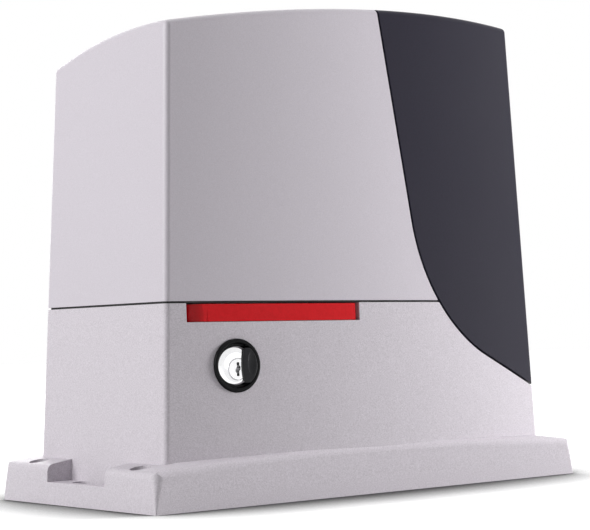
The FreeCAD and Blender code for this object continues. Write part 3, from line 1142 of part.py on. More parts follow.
def brush_holder():
    """Insulating plate with a box for each brush."""
    outer = MOTOR_RADIUS - MOTOR_WALL - 0.1
    low = COMMUTATOR_BOTTOM - 1.0
    holder = tube(outer, COMMUTATOR_RADIUS + 2.5, (WORM_X, 0, low - 2.5), (WORM_X, 0, low))
    for side in (-1, 1):
        case = box((WORM_X + side * (COMMUTATOR_RADIUS + 2.5), WORM_X + side * (COMMUTATOR_RADIUS + 15.0)),
                   (-6.0, 6.0), (low - 1, low + 12.5))
        holder = holder.fuse(case).cut(brush_shape(side, SCREW_CLEARANCE))
    return holder


def motor_end_cap():
    """Domed end cap with the upper bearing's seat."""
    r, z = MOTOR_RADIUS, MOTOR_TOP
    seat = TOP_BEARING[0]
    profile = [(r, z), (r, z + 5), (r - 2, z + 9), (r - 7, z + 11.5), (18, z + END_CAP_HEIGHT), (0, z + END_CAP_HEIGHT),
               (0, z + TOP_BEARING[1] + 2.5), (seat - 2, z + TOP_BEARING[1] + 2.5), (seat - 2, z + TOP_BEARING[1] + 2.0),
               (seat, z + TOP_BEARING[1] + 2.0), (seat, z + 2.0), (seat + 3, z + 2.0), (seat + 3, z + 7.5),
               (r - 9, z + 7.5), (r - 4, z + 4), (r - 3.5, z)]
    return turned(profile, (WORM_X, 0, 0), (0, 0, 1))


def motor_screws():
    """Three screws through the motor's ears."""
    return Part.makeCompound([screw(4.2, 5.0, 2.5, MOTOR_FLANGE_THICKNESS + 10.0, (x, y, MOTOR_BOTTOM), (0, 0, -1))
                              for x, y in motor_ears()])


# ---------------------------------------------------------------- gearbox cover
def plate_screw_places():
    """Centres in XZ of the gearbox cover's screws."""
    ring = HOUSING_RADIUS - 4.0
    around = [(OUTPUT_X + ring * math.cos(math.radians(a)), OUTPUT_Z + ring * math.sin(math.radians(a)))
              for a in (119, 225, 270, 315, 0)]
    edge = ROD_X + 10.0
    return around + [(edge, ROD_Z - 12.5), (edge, ROD_Z + 8.0)]


def gearbox_cover_plate():
    """Front plate of the gearbox with the front bearing's boss and the push rod's guide."""
    back, front = CHAMBER_FRONT, CHAMBER_FRONT - COVER_PLATE_THICKNESS
    solid = housing_profile(HOUSING_RADIUS, OUTPUT_X, ROD_X + 13.0, ROD_Z - 20.0, GEARBOX_TOP - 0.5, front, back)
    solid = solid.common(slab(0, GEARBOX_TOP - 0.5))
    boss = rod(FRONT_BEARING[0] + 6.0, on_axis(FRONT_SEAT - 4.0), on_axis(back))
    ribs = [box((-2.0, 2.0), (front - 6.0, front), (0, HOUSING_RADIUS - 4.0)) for _ in range(5)]
    for k, rib in enumerate(ribs):
        rib.rotate(Vector(0, 0, 0), Vector(0, 1, 0), 180 + 48.0 * (k - 2))
        rib.translate(Vector(OUTPUT_X, 0, OUTPUT_Z))
    guide = rod(ROD_RADIUS + 4.0, (ROD_X, front - 5.0, ROD_Z), (ROD_X, back, ROD_Z))
    solid = joined([solid, boss, guide] + ribs)
    solid = solid.cut(rod(FRONT_BEARING[0], on_axis(FRONT_SEAT), on_axis(back + 1)))
    solid = solid.cut(rod(ROD_RADIUS + RUNNING_FIT, (ROD_X, front - 6, ROD_Z), (ROD_X, back + 1, ROD_Z)))
    for x, z in plate_screw_places():
        solid = solid.cut(rod(2.0 + SCREW_CLEARANCE, (x, front - 8, z), (x, back + 1, z)))
        solid = solid.cut(rod(4.2, (x, front - 8, z), (x, front, z)))
    return solid


def gearbox_cover_screws():
    """Screws of the gearbox cover."""
    front = CHAMBER_FRONT - COVER_PLATE_THICKNESS
    return Part.makeCompound([screw(3.6, 3.6, 2.0, COVER_PLATE_THICKNESS + 6.0, (x, front, z), (0, 1, 0))
                              for x, z in plate_screw_places()])


def output_seal():
    """Lip seal round the output shaft in the back boss."""
    y = OUTPUT_BOSS_END - SEAL_WIDTH
    ring = tube(SEAL_OUTER_RADIUS, OUTPUT_SHAFT_RADIUS + RUNNING_FIT, on_axis(y), on_axis(y + SEAL_WIDTH - 1.0))
    return ring.cut(tube(SEAL_OUTER_RADIUS - 2.0, OUTPUT_SHAFT_RADIUS + 2.0, on_axis(y + SEAL_WIDTH - 3.0),
                         on_axis(y + SEAL_WIDTH)))


# ---------------------------------------------------------------- electrics
def transformer_coil():
    """Wound ring transformer."""
    low = FLOOR_TOP + PAD_THICKNESS
    ring = tube(TRANSFORMER_RADIUS, TRANSFORMER_HOLE, (TRANSFORMER_X, 0, low), (TRANSFORMER_X, 0, low + TRANSFORMER_HEIGHT))
    rims = [e for e in ring.Edges if len(e.Vertexes) == 1]
    return ring.makeFillet(5.0, rims)


def transformer_pads():
    """Rubber discs under and over the transformer."""
    pads = []
    for z in (FLOOR_TOP, FLOOR_TOP + PAD_THICKNESS + TRANSFORMER_HEIGHT):
        pads.append(tube(TRANSFORMER_RADIUS - 4.0, TRANSFORMER_BOLT_RADIUS + 1.0, (TRANSFORMER_X, 0, z),
                         (TRANSFORMER_X, 0, z + PAD_THICKNESS)))
    return Part.makeCompound(pads)


def transformer_clamp():
    """Steel dish and bolt that hold the transformer down."""
    z = FLOOR_TOP + 2 * PAD_THICKNESS + TRANSFORMER_HEIGHT
    r = TRANSFORMER_RADIUS - 6.0
    bore = TRANSFORMER_BOLT_RADIUS + SCREW_CLEARANCE
    dish = turned([(bore, z), (r, z), (r + 1.5, z + 3.0), (r, z + 3.0), (r - 1.5, z + 1.6), (bore, z + 1.6)],
                  (TRANSFORMER_X, 0, 0), (0, 0, 1))
    shank = z + 1.6 - UNDERSIDE_DEPTH - 1.0
    bolt = screw(6.5, 6.0, TRANSFORMER_BOLT_RADIUS, shank, (TRANSFORMER_X, 0, z + 1.6), (0, 0, -1))
    return Part.makeCompound([dish, bolt])


def cable_grommet():
    """Rubber grommet in the floor where the supply cables come up."""
    r = CABLE_HOLE_RADIUS
    profile = [(r - 3.5, 3.0), (r - SCREW_CLEARANCE, 3.0), (r - SCREW_CLEARANCE, FLOOR_TOP), (r + 2.5, FLOOR_TOP),
               (r + 1.5, FLOOR_TOP + 2.5), (r - 2.5, FLOOR_TOP + 3.0), (r - 3.5, FLOOR_TOP + 2.0)]
    return turned(profile, (CABLE_X, 0, 0), (0, 0, 1))


def carrier_screw_places():
    """Centres in XY of the screws that hold the board carrier."""
    return [(LUG_PLACES[1], CHAMBER_BACK + 3.0), (CABLE_X + POST_HALF, POST_Y)]


def board_carrier():
    """Moulded tray that stands on the casting and holds the control board upright."""
    left, right = BOARD_LEFT - CARRIER_MARGIN, BOARD_RIGHT + CARRIER_MARGIN
    low, high = GEARBOX_TOP, BOARD_TOP + CARRIER_MARGIN
    front = CARRIER_BACK - CARRIER_WALL
    back_plate = box((left, right), (front, CARRIER_BACK), (low, high))
    rim = box((left, right), (front - CARRIER_RIM, front), (BOARD_BOTTOM - CARRIER_MARGIN, high))
    rim = rim.cut(box((left + 2.0, right - 2.0), (-BASE_DEPTH, BASE_DEPTH), (BOARD_BOTTOM - CARRIER_MARGIN + 2.0, high - 2.0)))
    shelf = box((LUG_PLACES[1] - 6.0, CABLE_X + 12.0), (front, CHAMBER_BACK + 7.0), (low, low + CARRIER_WALL))
    gussets = [gusset(x, low) for x in (left + 14.0, (left + right) / 2, right - 14.0)]
    pegs = [rod(2.6, (x, front, z), (x, front - STANDOFF, z)) for x, z in board_screw_places()]
    solid = joined([back_plate, rim, shelf] + gussets + pegs)
    for x, z in board_screw_places():
        solid = solid.cut(rod(1.4, (x, BOARD_FRONT - 1, z), (x, CARRIER_BACK, z)))
    for x, y in carrier_screw_places():
        solid = solid.cut(rod(2.0 + SCREW_CLEARANCE, (x, y, low - 1), (x, y, low + 2 * CARRIER_WALL)))
    return solid


def gusset(x, low):
    """One triangular gusset behind the carrier."""
    reach, height, half = 18.0, 40.0, 1.2
    corners = [Vector(x - half, CARRIER_BACK, low + CARRIER_WALL), Vector(x - half, CARRIER_BACK + reach, low + CARRIER_WALL),
               Vector(x - half, CARRIER_BACK, low + height)]
    return Part.Face(Part.makePolygon(corners + corners[:1])).extrude(Vector(2 * half, 0, 0))


def board_screw_places():
    """Centres in XZ of the control board's screws."""
    return [(x, z) for x in (BOARD_LEFT + 4.0, BOARD_RIGHT - 4.0) for z in (BOARD_BOTTOM + 4.0, BOARD_TOP - 4.0)]


def control_board():
    """Printed board with its four screw holes."""
    board = box((BOARD_LEFT, BOARD_RIGHT), (BOARD_FRONT, BOARD_FRONT + BOARD_THICKNESS), (BOARD_BOTTOM, BOARD_TOP))
    for x, z in board_screw_places():
        board = board.cut(rod(1.6, (x, BOARD_FRONT - 1, z), (x, BOARD_FRONT + 3, z)))
    return board


def board_screws():
    """Screws of the control board and of its carrier."""
    small = [screw(2.8, 1.8, 1.35, 5.0, (x, BOARD_FRONT, z), (0, 1, 0)) for x, z in board_screw_places()]
    large = [screw(3.6, 3.0, 2.0, 9.0, (x, y, GEARBOX_TOP + CARRIER_WALL), (0, 0, -1)) for x, y in carrier_screw_places()]
    return Part.makeCompound(small + large)


def terminal_blocks():
    """Row of pluggable terminal blocks along the lower edge of the board."""
    blocks = []
    for i in range(TERMINAL_COUNT):
        x = BOARD_LEFT + 9.0 + i * TERMINAL_PITCH
        block = box((x, x + TERMINAL_PITCH - 2.0), (BOARD_FRONT - 12.0, BOARD_FRONT), (BOARD_BOTTOM + 2.0, BOARD_BOTTOM + 15.0))
        for k in range(3):
            hole_x = x + 2.4 + k * 4.2
            wire = box((hole_x, hole_x + 2.8), (BOARD_FRONT - 9.0, BOARD_FRONT - 5.5), (BOARD_BOTTOM, BOARD_BOTTOM + 8.0))
            block = block.cut(wire)
            block = block.cut(rod(1.4, (hole_x + 1.4, BOARD_FRONT - 13, BOARD_BOTTOM + 9.5),
                                  (hole_x + 1.4, BOARD_FRONT - 9, BOARD_BOTTOM + 9.5)))
        blocks.append(block)
    return Part.makeCompound(blocks)


def relays():
    """Relays above the terminals."""
    boxes = []
    for i in range(3):
        x = BOARD_LEFT + 8.0 + i * 22.0
        body = box((x, x + 19.0), (BOARD_FRONT - 15.5, BOARD_FRONT), (BOARD_BOTTOM + 26.0, BOARD_BOTTOM + 41.5))
        front = [e for e in body.Edges if all(abs(v.Y - (BOARD_FRONT - 15.5)) < 0.01 for v in e.Vertexes)]
        boxes.append(body.makeChamfer(0.8, front))
    return Part.makeCompound(boxes)


def capacitors():
    """Smoothing capacitors standing off the board."""
    cans = []
    for z in (BOARD_BOTTOM + 34.0, BOARD_BOTTOM + 56.0):
        r, y, x = 9.0, BOARD_FRONT, BOARD_RIGHT - 14.0
        profile = [(0, 0), (r, 0), (r, 2.5), (r - 0.6, 3.1), (r, 3.7), (r, 24.2), (r - 0.8, 25), (0, 25)]
        cans.append(turned([(a, b) for a, b in profile], (x, y, z), (0, -1, 0)))
    return Part.makeCompound(cans)


def heat_sink():
    """Finned heat sink on the board."""
    x, z = BOARD_LEFT + 10.0, BOARD_BOTTOM + 56.0
    width, height, depth = 40.0, 22.0, 16.0
    solid = box((x, x + width), (BOARD_FRONT - 3.0, BOARD_FRONT), (z, z + height))
    fins = 7
    step = (width - 1.4) / (fins - 1)
    for i in range(fins):
        solid = solid.fuse(box((x + i * step, x + i * step + 1.4), (BOARD_FRONT - depth, BOARD_FRONT - 2.0), (z, z + height)))
    return solid.removeSplitter()


def small_components():
    """Processor, plug-in receiver, heat sink and the bases of the push buttons."""
    chip = box((BOARD_LEFT + 58.0, BOARD_LEFT + 70.0), (BOARD_FRONT - 1.6, BOARD_FRONT), (BOARD_BOTTOM + 60.0, BOARD_BOTTOM + 72.0))
    receiver = box((BOARD_LEFT + 60.0, BOARD_RIGHT - 8.0), (BOARD_FRONT - 5.0, BOARD_FRONT), (BOARD_TOP - 24.0, BOARD_TOP - 10.0))
    bases = []
    for x in button_places():
        base = box((x - 3.5, x + 3.5), (BUTTON_BASE_TOP, BOARD_FRONT), (BUTTON_Z - 3.5, BUTTON_Z + 3.5))
        bases.append(base.cut(rod(1.6 + RUNNING_FIT, (x, BUTTON_BASE_TOP - 1, BUTTON_Z), (x, BOARD_FRONT - 0.6, BUTTON_Z))))
    return Part.makeCompound([chip, receiver, heat_sink()] + bases)


def button_places():
    """X of the three push buttons."""
    return [BOARD_LEFT + 14.0 + 12.0 * i for i in range(3)]


def push_button(x):
    """Push button cap with its stem in the base."""
    stem = rod(1.6, (x, BUTTON_BASE_TOP - 2.0, BUTTON_Z), (x, BOARD_FRONT - 0.6 - BUTTON_TRAVEL - 0.2, BUTTON_Z))
    top = BUTTON_BASE_TOP - BUTTON_TRAVEL - 0.2
    cap = rod(2.6, (x, top - 3.0, BUTTON_Z), (x, top, BUTTON_Z))
    return cap.fuse(stem)


# ---------------------------------------------------------------- limit switch and cover screws
def limit_switch_body():
    """Limit switch over the output boss."""
    low, high = GEARBOX_TOP, LEVER_Z - LEVER_HUB_HEIGHT / 2 - REST_GAP
    body = box((OUTPUT_X - SWITCH_HALF, OUTPUT_X + SWITCH_HALF), (SWITCH_FRONT, SWITCH_BACK), (low, high))
    upright = [e for e in body.Edges if abs(e.Vertexes[0].Z - e.Vertexes[-1].Z) > 1]
    body = body.makeFillet(2.0, upright)
    for x in SWITCH_SCREWS:
        body = body.cut(rod(2.0 + SCREW_CLEARANCE, (x, SWITCH_SCREW_Y, low - 1), (x, SWITCH_SCREW_Y, high + 1)))
        body = body.cut(rod(4.0, (x, SWITCH_SCREW_Y, high - 4.0), (x, SWITCH_SCREW_Y, high + 1)))
    return body.cut(rod(2.0 + RUNNING_FIT, (OUTPUT_X, SWITCH_PIVOT_Y, low + 1.5), (OUTPUT_X, SWITCH_PIVOT_Y, high + 1)))


def limit_switch_screws():
    """Two screws that hold the limit switch."""
    seat = LEVER_Z - LEVER_HUB_HEIGHT / 2 - REST_GAP - 4.0
    return Part.makeCompound([screw(3.6, 3.2, 2.0, seat - GEARBOX_TOP + 8.0, (x, SWITCH_SCREW_Y, seat), (0, 0, -1))
                              for x in SWITCH_SCREWS])


def limit_lever():
    """Sprung lever that the gate's stops push over at the ends of travel."""
    half = LEVER_HUB_HEIGHT / 2
    hub = rod(5.0, (OUTPUT_X, SWITCH_PIVOT_Y, LEVER_Z - half), (OUTPUT_X, SWITCH_PIVOT_Y, LEVER_Z + half))
    pin = rod(2.0, (OUTPUT_X, SWITCH_PIVOT_Y, GEARBOX_TOP + 2.5), (OUTPUT_X, SWITCH_PIVOT_Y, LEVER_Z))
    arm = rod(LEVER_RADIUS, (OUTPUT_X, SWITCH_PIVOT_Y, LEVER_Z), (OUTPUT_X, LEVER_REACH - LEVER_RADIUS, LEVER_Z))
    tip = Part.makeSphere(LEVER_RADIUS, Vector(OUTPUT_X, LEVER_REACH - LEVER_RADIUS, LEVER_Z))
    return joined([hub, pin, arm, tip])


def cover_screws():
    """Two screws that the cover's open slots drop over."""
    screws = []
    for x in LUG_PLACES:
        seat = face_y(x, LUG_SCREW_Z) + 0.7
        screws.append(screw(COVER_SCREW_HEAD, 3.2, COVER_SCREW_RADIUS, 14.0, (x, seat, LUG_SCREW_Z), (0, -1, 0)))
    return Part.makeCompound(screws)


# ---------------------------------------------------------------- write every node
def nodes():
    """Every node's name and shape."""
    outer = outer_form(0)
    cover = cover_shell(outer, outer_form(PANEL_SEAT))
    axis_base = (OUTPUT_X, 0, OUTPUT_Z)
    worm_base = (WORM_X, 0, 0)
    model = {
        "base_casting": base_casting(),
        "levelling_screws": levelling_screws(),
        "gearbox_cover_plate": gearbox_cover_plate(),
        "gearbox_cover_screws": gearbox_cover_screws(),
        "front_bearing": bearing(FRONT_BEARING, OUTPUT_SHAFT_RADIUS, axis_base, "Y", FRONT_SEAT),
        "rear_bearing": bearing(REAR_BEARING, OUTPUT_SHAFT_RADIUS, axis_base, "Y", REAR_SEAT),
        "output_seal": output_seal(),
        "worm_bearings": Part.makeCompound([
            bearing(WORM_LOWER_BEARING, WORM_SHAFT_RADIUS, worm_base, "Z", WORM_LOWER_SEAT),
            bearing(WORM_UPPER_BEARING, MOTOR_SHAFT_RADIUS, worm_base, "Z", WORM_UPPER_SEAT)]),
        "output_shaft": output_shaft(),
        "shaft_keys": shaft_keys(),
        "shaft_retainers": shaft_retainers(),
        "worm_wheel": worm_wheel(),
        "clutch_ring": clutch_ring(),
        "pinion": pinion(),
        "pinion_fastener": pinion_fastener(),
        "worm_shaft": worm_shaft(),
        "release_fork": release_fork(),
        "release_rod": release_rod(),
        "release_slider": release_slider(),
        "slider_guides": slider_guides(),
        "release_handle": release_handle(),
        "handle_spindle": handle_spindle(),
        "lock_bezel": lock_bezel(),
        "lock_barrel": lock_barrel(),
        "lock_nut": lock_nut(),
        "lock_plug": lock_plug(),
        "lock_cam": lock_cam(),
        "lock_shutter": lock_shutter(),
        "motor_flange": motor_flange(),
        "motor_can": motor_can(),
        "motor_magnets": motor_magnets(),
        "armature_core": armature_core(),
        "armature_winding": armature_winding(),
        "commutator": commutator(),
        "brushes": brushes(),
        "brush_holder": brush_holder(),
        "motor_end_cap": motor_end_cap(),
        "motor_top_bearing": bearing(TOP_BEARING, MOTOR_SHAFT_RADIUS, worm_base, "Z", MOTOR_TOP + 2.0),
        "motor_screws": motor_screws(),
        "transformer_coil": transformer_coil(),
        "transformer_pads": transformer_pads(),
        "transformer_clamp": transformer_clamp(),
        "cable_grommet": cable_grommet(),
        "board_carrier": board_carrier(),
        "control_board": control_board(),
        "board_screws": board_screws(),
        "terminal_blocks": terminal_blocks(),
        "relays": relays(),
        "capacitors": capacitors(),
        "small_components": small_components(),
        "limit_switch_body": limit_switch_body(),
        "limit_switch_screws": limit_switch_screws(),
        "limit_lever": limit_lever(),
        "cover_screws": cover_screws(),
        "cover_shell": cover,
        "cover_seal": cover_seal(cover),
        "side_panel": side_panel(outer),
    }
    for name, x in zip(("button_open", "button_stop", "button_close"), button_places()):
        model[name] = push_button(x)
    return model


def main():
    """Build the model and write one STEP file per node."""
    os.makedirs("parts", exist_ok=True)
    for name, shape in nodes().items():
        shape.exportStep(f"parts/{name}.step")
        print(name, "valid" if shape.isValid() else "INVALID", f"{len(shape.Solids)} solids", f"{shape.Volume:.0f} mm3")


main()
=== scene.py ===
# %% [markdown]
# # A sliding gate motor
# The machine stands on a cast foot. A painted cover lifts off it, a dark panel wraps its right end, and a
# red handle under the seam frees the gate by hand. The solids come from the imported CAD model. This lesson
# gives them their finishes, adds the fine parts that CAD leaves out, and lights them.

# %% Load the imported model
import bmesh
import bpy
import json
import math
from mathutils import Matrix, Vector


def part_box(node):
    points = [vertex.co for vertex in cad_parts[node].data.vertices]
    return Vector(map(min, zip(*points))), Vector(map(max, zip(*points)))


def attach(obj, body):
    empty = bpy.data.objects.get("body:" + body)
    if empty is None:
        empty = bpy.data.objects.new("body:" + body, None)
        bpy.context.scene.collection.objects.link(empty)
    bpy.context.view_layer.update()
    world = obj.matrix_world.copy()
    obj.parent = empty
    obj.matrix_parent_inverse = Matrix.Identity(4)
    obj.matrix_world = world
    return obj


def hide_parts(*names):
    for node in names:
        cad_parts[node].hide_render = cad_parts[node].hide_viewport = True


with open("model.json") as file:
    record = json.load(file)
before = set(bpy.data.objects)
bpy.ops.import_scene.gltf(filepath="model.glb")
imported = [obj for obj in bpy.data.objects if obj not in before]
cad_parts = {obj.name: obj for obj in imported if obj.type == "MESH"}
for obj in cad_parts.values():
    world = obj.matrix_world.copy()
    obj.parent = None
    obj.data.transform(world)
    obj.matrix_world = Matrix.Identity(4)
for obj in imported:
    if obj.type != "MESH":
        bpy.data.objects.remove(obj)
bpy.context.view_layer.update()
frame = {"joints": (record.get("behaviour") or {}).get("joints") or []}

# %% [markdown]
# ## Where to look from
# The eye is low, about nine centimetres above the floor, so the object towers a little. A long lens keeps
# its upright edges nearly parallel. The camera is turned by three angles, in radians, and a matrix holds
# its right, up and back directions as columns, which is plainer than a rotation order.

# %% The camera
EYE = Vector((-0.6778, -0.7977, 0.0876))
YAW, PITCH, ROLL = 0.70335, 0.04649, -0.02331
LENS, SENSOR = 103.05, 36.0
forward = Vector((math.sin(YAW) * math.cos(PITCH), math.cos(YAW) * math.cos(PITCH), math.sin(PITCH)))
level = Vector((math.cos(YAW), -math.sin(YAW), 0.0))
rise = level.cross(forward)
right = level * math.cos(ROLL) + rise * math.sin(ROLL)
upward = rise * math.cos(ROLL) - level * math.sin(ROLL)

camera_data = bpy.data.cameras.new("studio_camera")
camera_data.lens = LENS
camera_data.sensor_width = SENSOR
camera = bpy.data.objects.new("studio_camera", camera_data)
turn = Matrix((right, upward, -forward)).transposed()
camera.matrix_world = Matrix.Translation(EYE) @ turn.to_4x4()
bpy.context.collection.objects.link(camera)
bpy.context.scene.camera = camera
print("camera looks along", [round(c, 3) for c in forward])

# %% [markdown]
# ## Small tools for node trees
# Every finish below is a tree of nodes, and so is every pattern of small parts. Three helpers keep the trees
# short to read. One adds a node, and one feeds a socket: a constant is set, and another node is linked. The
# third adds a Math node, whose sockets all share one name, so it takes its terms in order.

# %% Helpers that add nodes
def add(tree, kind, **settings):
    """Add a node. From_Min stands for its socket From Min, and a name with no socket is a property."""
    node = tree.nodes.new(kind)
    for name, value in settings.items():
        socket_name = name.replace("_", " ")
        if socket_name in node.inputs:
            feed(tree, node.inputs[socket_name], value)
        else:
            setattr(node, name, value)
    return node


def feed(tree, socket, value):
    """Set a socket to a constant, or link it to a node's first output or to the output that is given."""
    if isinstance(value, bpy.types.Node):
        value = value.outputs[0]
    if isinstance(value, bpy.types.NodeSocket):
        tree.links.new(value, socket)
    else:
        socket.default_value = value


def calculate(tree, operation, *terms):
    """Add a Math node over constants and other nodes."""
    node = add(tree, "ShaderNodeMath", operation=operation)
    for socket, term in zip(node.inputs, terms):
        feed(tree, socket, term)
    return node


# %% [markdown]
# ## One grain for many finishes
# Powder coat, moulded plastic and cast metal all show a fine grain. An image of it would need a layout of
# the surface, so it is made of noise in space instead. One shader node group mixes two noises of different
# sizes into a colour mask and a height for the bump, and a third, slow one makes the roughness uneven. Each
# material sets its own sizes.

# %% The grain group
MASK_DARK, MASK_LIGHT = 0.36, 0.64


def grain_group():
    """A shader node group that turns three noise scales into a mask, a height and a cloud."""
    tree = bpy.data.node_groups.new("surface_grain", "ShaderNodeTree")
    for name, value in (("Fine", 1600.0), ("Coarse", 500.0), ("Drift", 9.0)):
        socket = tree.interface.new_socket(name, in_out="INPUT", socket_type="NodeSocketFloat")
        socket.default_value = value
    for name in ("Mask", "Height", "Cloud"):
        tree.interface.new_socket(name, in_out="OUTPUT", socket_type="NodeSocketFloat")
    entry, leave = tree.nodes.new("NodeGroupInput"), tree.nodes.new("NodeGroupOutput")
    place = add(tree, "ShaderNodeTexCoord").outputs["Object"]
    scale = entry.outputs
    fine = add(tree, "ShaderNodeTexNoise", Vector=place, Scale=scale["Fine"], Detail=2.0, Roughness=0.6)
    coarse = add(tree, "ShaderNodeTexNoise", Vector=place, Scale=scale["Coarse"], Detail=3.0, Roughness=0.55)
    drift = add(tree, "ShaderNodeTexNoise", Vector=place, Scale=scale["Drift"], Detail=3.0, Roughness=0.5)
    both = calculate(tree, "ADD", fine.outputs["Fac"], coarse.outputs["Fac"])
    height = calculate(tree, "MULTIPLY", both, 0.5)
    mask = add(tree, "ShaderNodeMapRange", Value=height, From_Min=MASK_DARK, From_Max=MASK_LIGHT)
    for name, source in (("Mask", mask), ("Height", height), ("Cloud", drift.outputs["Fac"])):
        feed(tree, leave.inputs[name], source)
    return tree


GRAIN = grain_group()
print("grain group sockets", len(GRAIN.interface.items_tree))

# %% [markdown]
# ## A material from the grain
# The same recipe serves paint, plastic, rubber and metal. The mask mixes two near colours, the height feeds
# a Bump node, and the cloud moves the roughness between two values. The grain's sizes are noise scales, so
# a larger number is a finer grain. What is the same all over a surface is set on the shader's own sockets.

# %% The grained finish
COAT_ROUGHNESS = 0.1
CLOUD_LOW, CLOUD_HIGH = 0.3, 0.7


def new_material(name, metallic=0.0, coat=0.0, specular=0.5):
    """A material with its Principled shader, and the constants set on the shader's own sockets."""
    material = bpy.data.materials.new(name)
    material.use_nodes = True
    tree = material.node_tree
    shader = tree.nodes["Principled BSDF"]
    shader.inputs["Metallic"].default_value = metallic
    shader.inputs["Coat Weight"].default_value = coat
    shader.inputs["Coat Roughness"].default_value = COAT_ROUGHNESS
    shader.inputs["Specular IOR Level"].default_value = specular
    return material, tree, shader


def grained(name, dark, light, roughness, sizes, bump, depth, **shader_values):
    """A finish with a fine, a coarse and a slow noise, each with its own scale in sizes."""
    material, tree, shader = new_material(name, **shader_values)
    fine, coarse, drift = sizes
    grain = add(tree, "ShaderNodeGroup", node_tree=GRAIN, Fine=fine, Coarse=coarse, Drift=drift).outputs
    tint = add(tree, "ShaderNodeMix", data_type="RGBA", Factor=grain["Mask"], A=(*dark, 1.0), B=(*light, 1.0))
    smooth, rough = roughness
    gloss = add(tree, "ShaderNodeMapRange", Value=grain["Cloud"], From_Min=CLOUD_LOW, From_Max=CLOUD_HIGH,
                To_Min=smooth, To_Max=rough)
    relief = add(tree, "ShaderNodeBump", Height=grain["Height"], Strength=bump, Distance=depth)
    feed(tree, shader.inputs["Base Color"], tint.outputs["Result"])
    feed(tree, shader.inputs["Roughness"], gloss)
    feed(tree, shader.inputs["Normal"], relief)
    return material


def wear_finish(names, material):
    """Give CAD nodes their finish."""
    for name in names:
        piece = bpy.data.objects[name]
        piece.data.materials.clear()
        piece.data.materials.append(material)
    print(material.name, "on", len(names))


# %% [markdown]
# ## Casting, cover and panel
# The casting has a coarse powder coat, the cover a smoother satin paint of the same pale, faintly violet
# grey, and the panel is moulded in a dark blue-grey plastic. The three differ mainly in how deep the grain
# is. The panel reflects little, so that it stays dark beside a bright room.

# %% Finishes of the housing
casting_paint = grained(
    "casting_paint", dark=(0.525, 0.488, 0.530), light=(0.690, 0.650, 0.700), roughness=(0.44, 0.52),
    sizes=(2300.0, 1150.0, 8.0), bump=0.45, depth=0.0003, specular=0.4)
cover_paint = grained(
    "cover_paint", dark=(0.565, 0.528, 0.575), light=(0.640, 0.602, 0.655), roughness=(0.38, 0.46),
    sizes=(3000.0, 1500.0, 8.0), bump=0.16, depth=0.0002, specular=0.4)
panel_dark = grained(
    "panel_dark", dark=(0.010, 0.0085, 0.017), light=(0.015, 0.0130, 0.025), roughness=(0.38, 0.46),
    sizes=(2600.0, 1200.0, 12.0), bump=0.20, depth=0.0002, specular=0.20)
wear_finish(["base_casting"], casting_paint)
wear_finish(["cover_shell"], cover_paint)
wear_finish(["side_panel"], panel_dark)

# %% [markdown]
# ## The coloured and polished parts
# The handle is moulded in a glossy red, the lock's ring in gloss black, and its face and plug are chrome. A
# gloss finish still has a slight orange peel, so it keeps a weak, coarse relief.

# %% Handle and lock finishes
handle_red = grained(
    "handle_red", dark=(0.60, 0.002, 0.006), light=(0.68, 0.004, 0.010), roughness=(0.22, 0.30),
    sizes=(900.0, 300.0, 14.0), bump=0.05, depth=0.0002, specular=0.25)
lock_black = grained(
    "lock_black", dark=(0.003, 0.003, 0.004), light=(0.006, 0.006, 0.007), roughness=(0.10, 0.16),
    sizes=(900.0, 300.0, 30.0), bump=0.04, depth=0.0002, specular=0.12)
lock_chrome = grained(
    "lock_chrome", dark=(0.84, 0.84, 0.85), light=(0.90, 0.90, 0.91), roughness=(0.06, 0.12),
    sizes=(900.0, 260.0, 60.0), bump=0.03, depth=0.0001, metallic=1.0)
wear_finish(["release_handle"], handle_red)
wear_finish(["lock_plug"], lock_chrome)

# %% [markdown]
# ## Metals inside
# Ground steel, zinc plating, bronze, copper and bare aluminium differ mostly in colour and in how rough
# they are, so the grained recipe makes them too, with a metallic shader. Enamel is a paint and ferrite a
# ceramic, so theirs isn't metallic.

# %% Metal finishes
ground_steel = grained(
    "ground_steel", dark=(0.40, 0.40, 0.41), light=(0.50, 0.50, 0.51), roughness=(0.22, 0.34),
    sizes=(2600.0, 700.0, 40.0), bump=0.15, depth=0.0001, metallic=1.0)
zinc_steel = grained(
    "zinc_steel", dark=(0.44, 0.45, 0.44), light=(0.56, 0.56, 0.53), roughness=(0.28, 0.42),
    sizes=(1200.0, 300.0, 50.0), bump=0.15, depth=0.0001, metallic=1.0)
dark_steel = grained(
    "dark_steel", dark=(0.055, 0.055, 0.060), light=(0.085, 0.085, 0.09), roughness=(0.38, 0.50),
    sizes=(1500.0, 500.0, 30.0), bump=0.25, depth=0.0001, metallic=0.7)
gear_bronze = grained(
    "gear_bronze", dark=(0.50, 0.30, 0.12), light=(0.62, 0.40, 0.18), roughness=(0.25, 0.38),
    sizes=(1500.0, 400.0, 30.0), bump=0.15, depth=0.0001, metallic=1.0)
copper_wire = grained(
    "copper_wire", dark=(0.55, 0.20, 0.08), light=(0.70, 0.30, 0.12), roughness=(0.22, 0.34),
    sizes=(900.0, 2400.0, 40.0), bump=0.4, depth=0.0002, metallic=1.0)
bare_aluminium = grained(
    "bare_aluminium", dark=(0.48, 0.48, 0.49), light=(0.60, 0.60, 0.61), roughness=(0.36, 0.50),
    sizes=(1300.0, 420.0, 20.0), bump=0.3, depth=0.0002, metallic=1.0)
motor_enamel = grained(
    "motor_enamel", dark=(0.018, 0.018, 0.020), light=(0.030, 0.030, 0.033), roughness=(0.34, 0.46),
    sizes=(1500.0, 500.0, 20.0), bump=0.3, depth=0.0002)
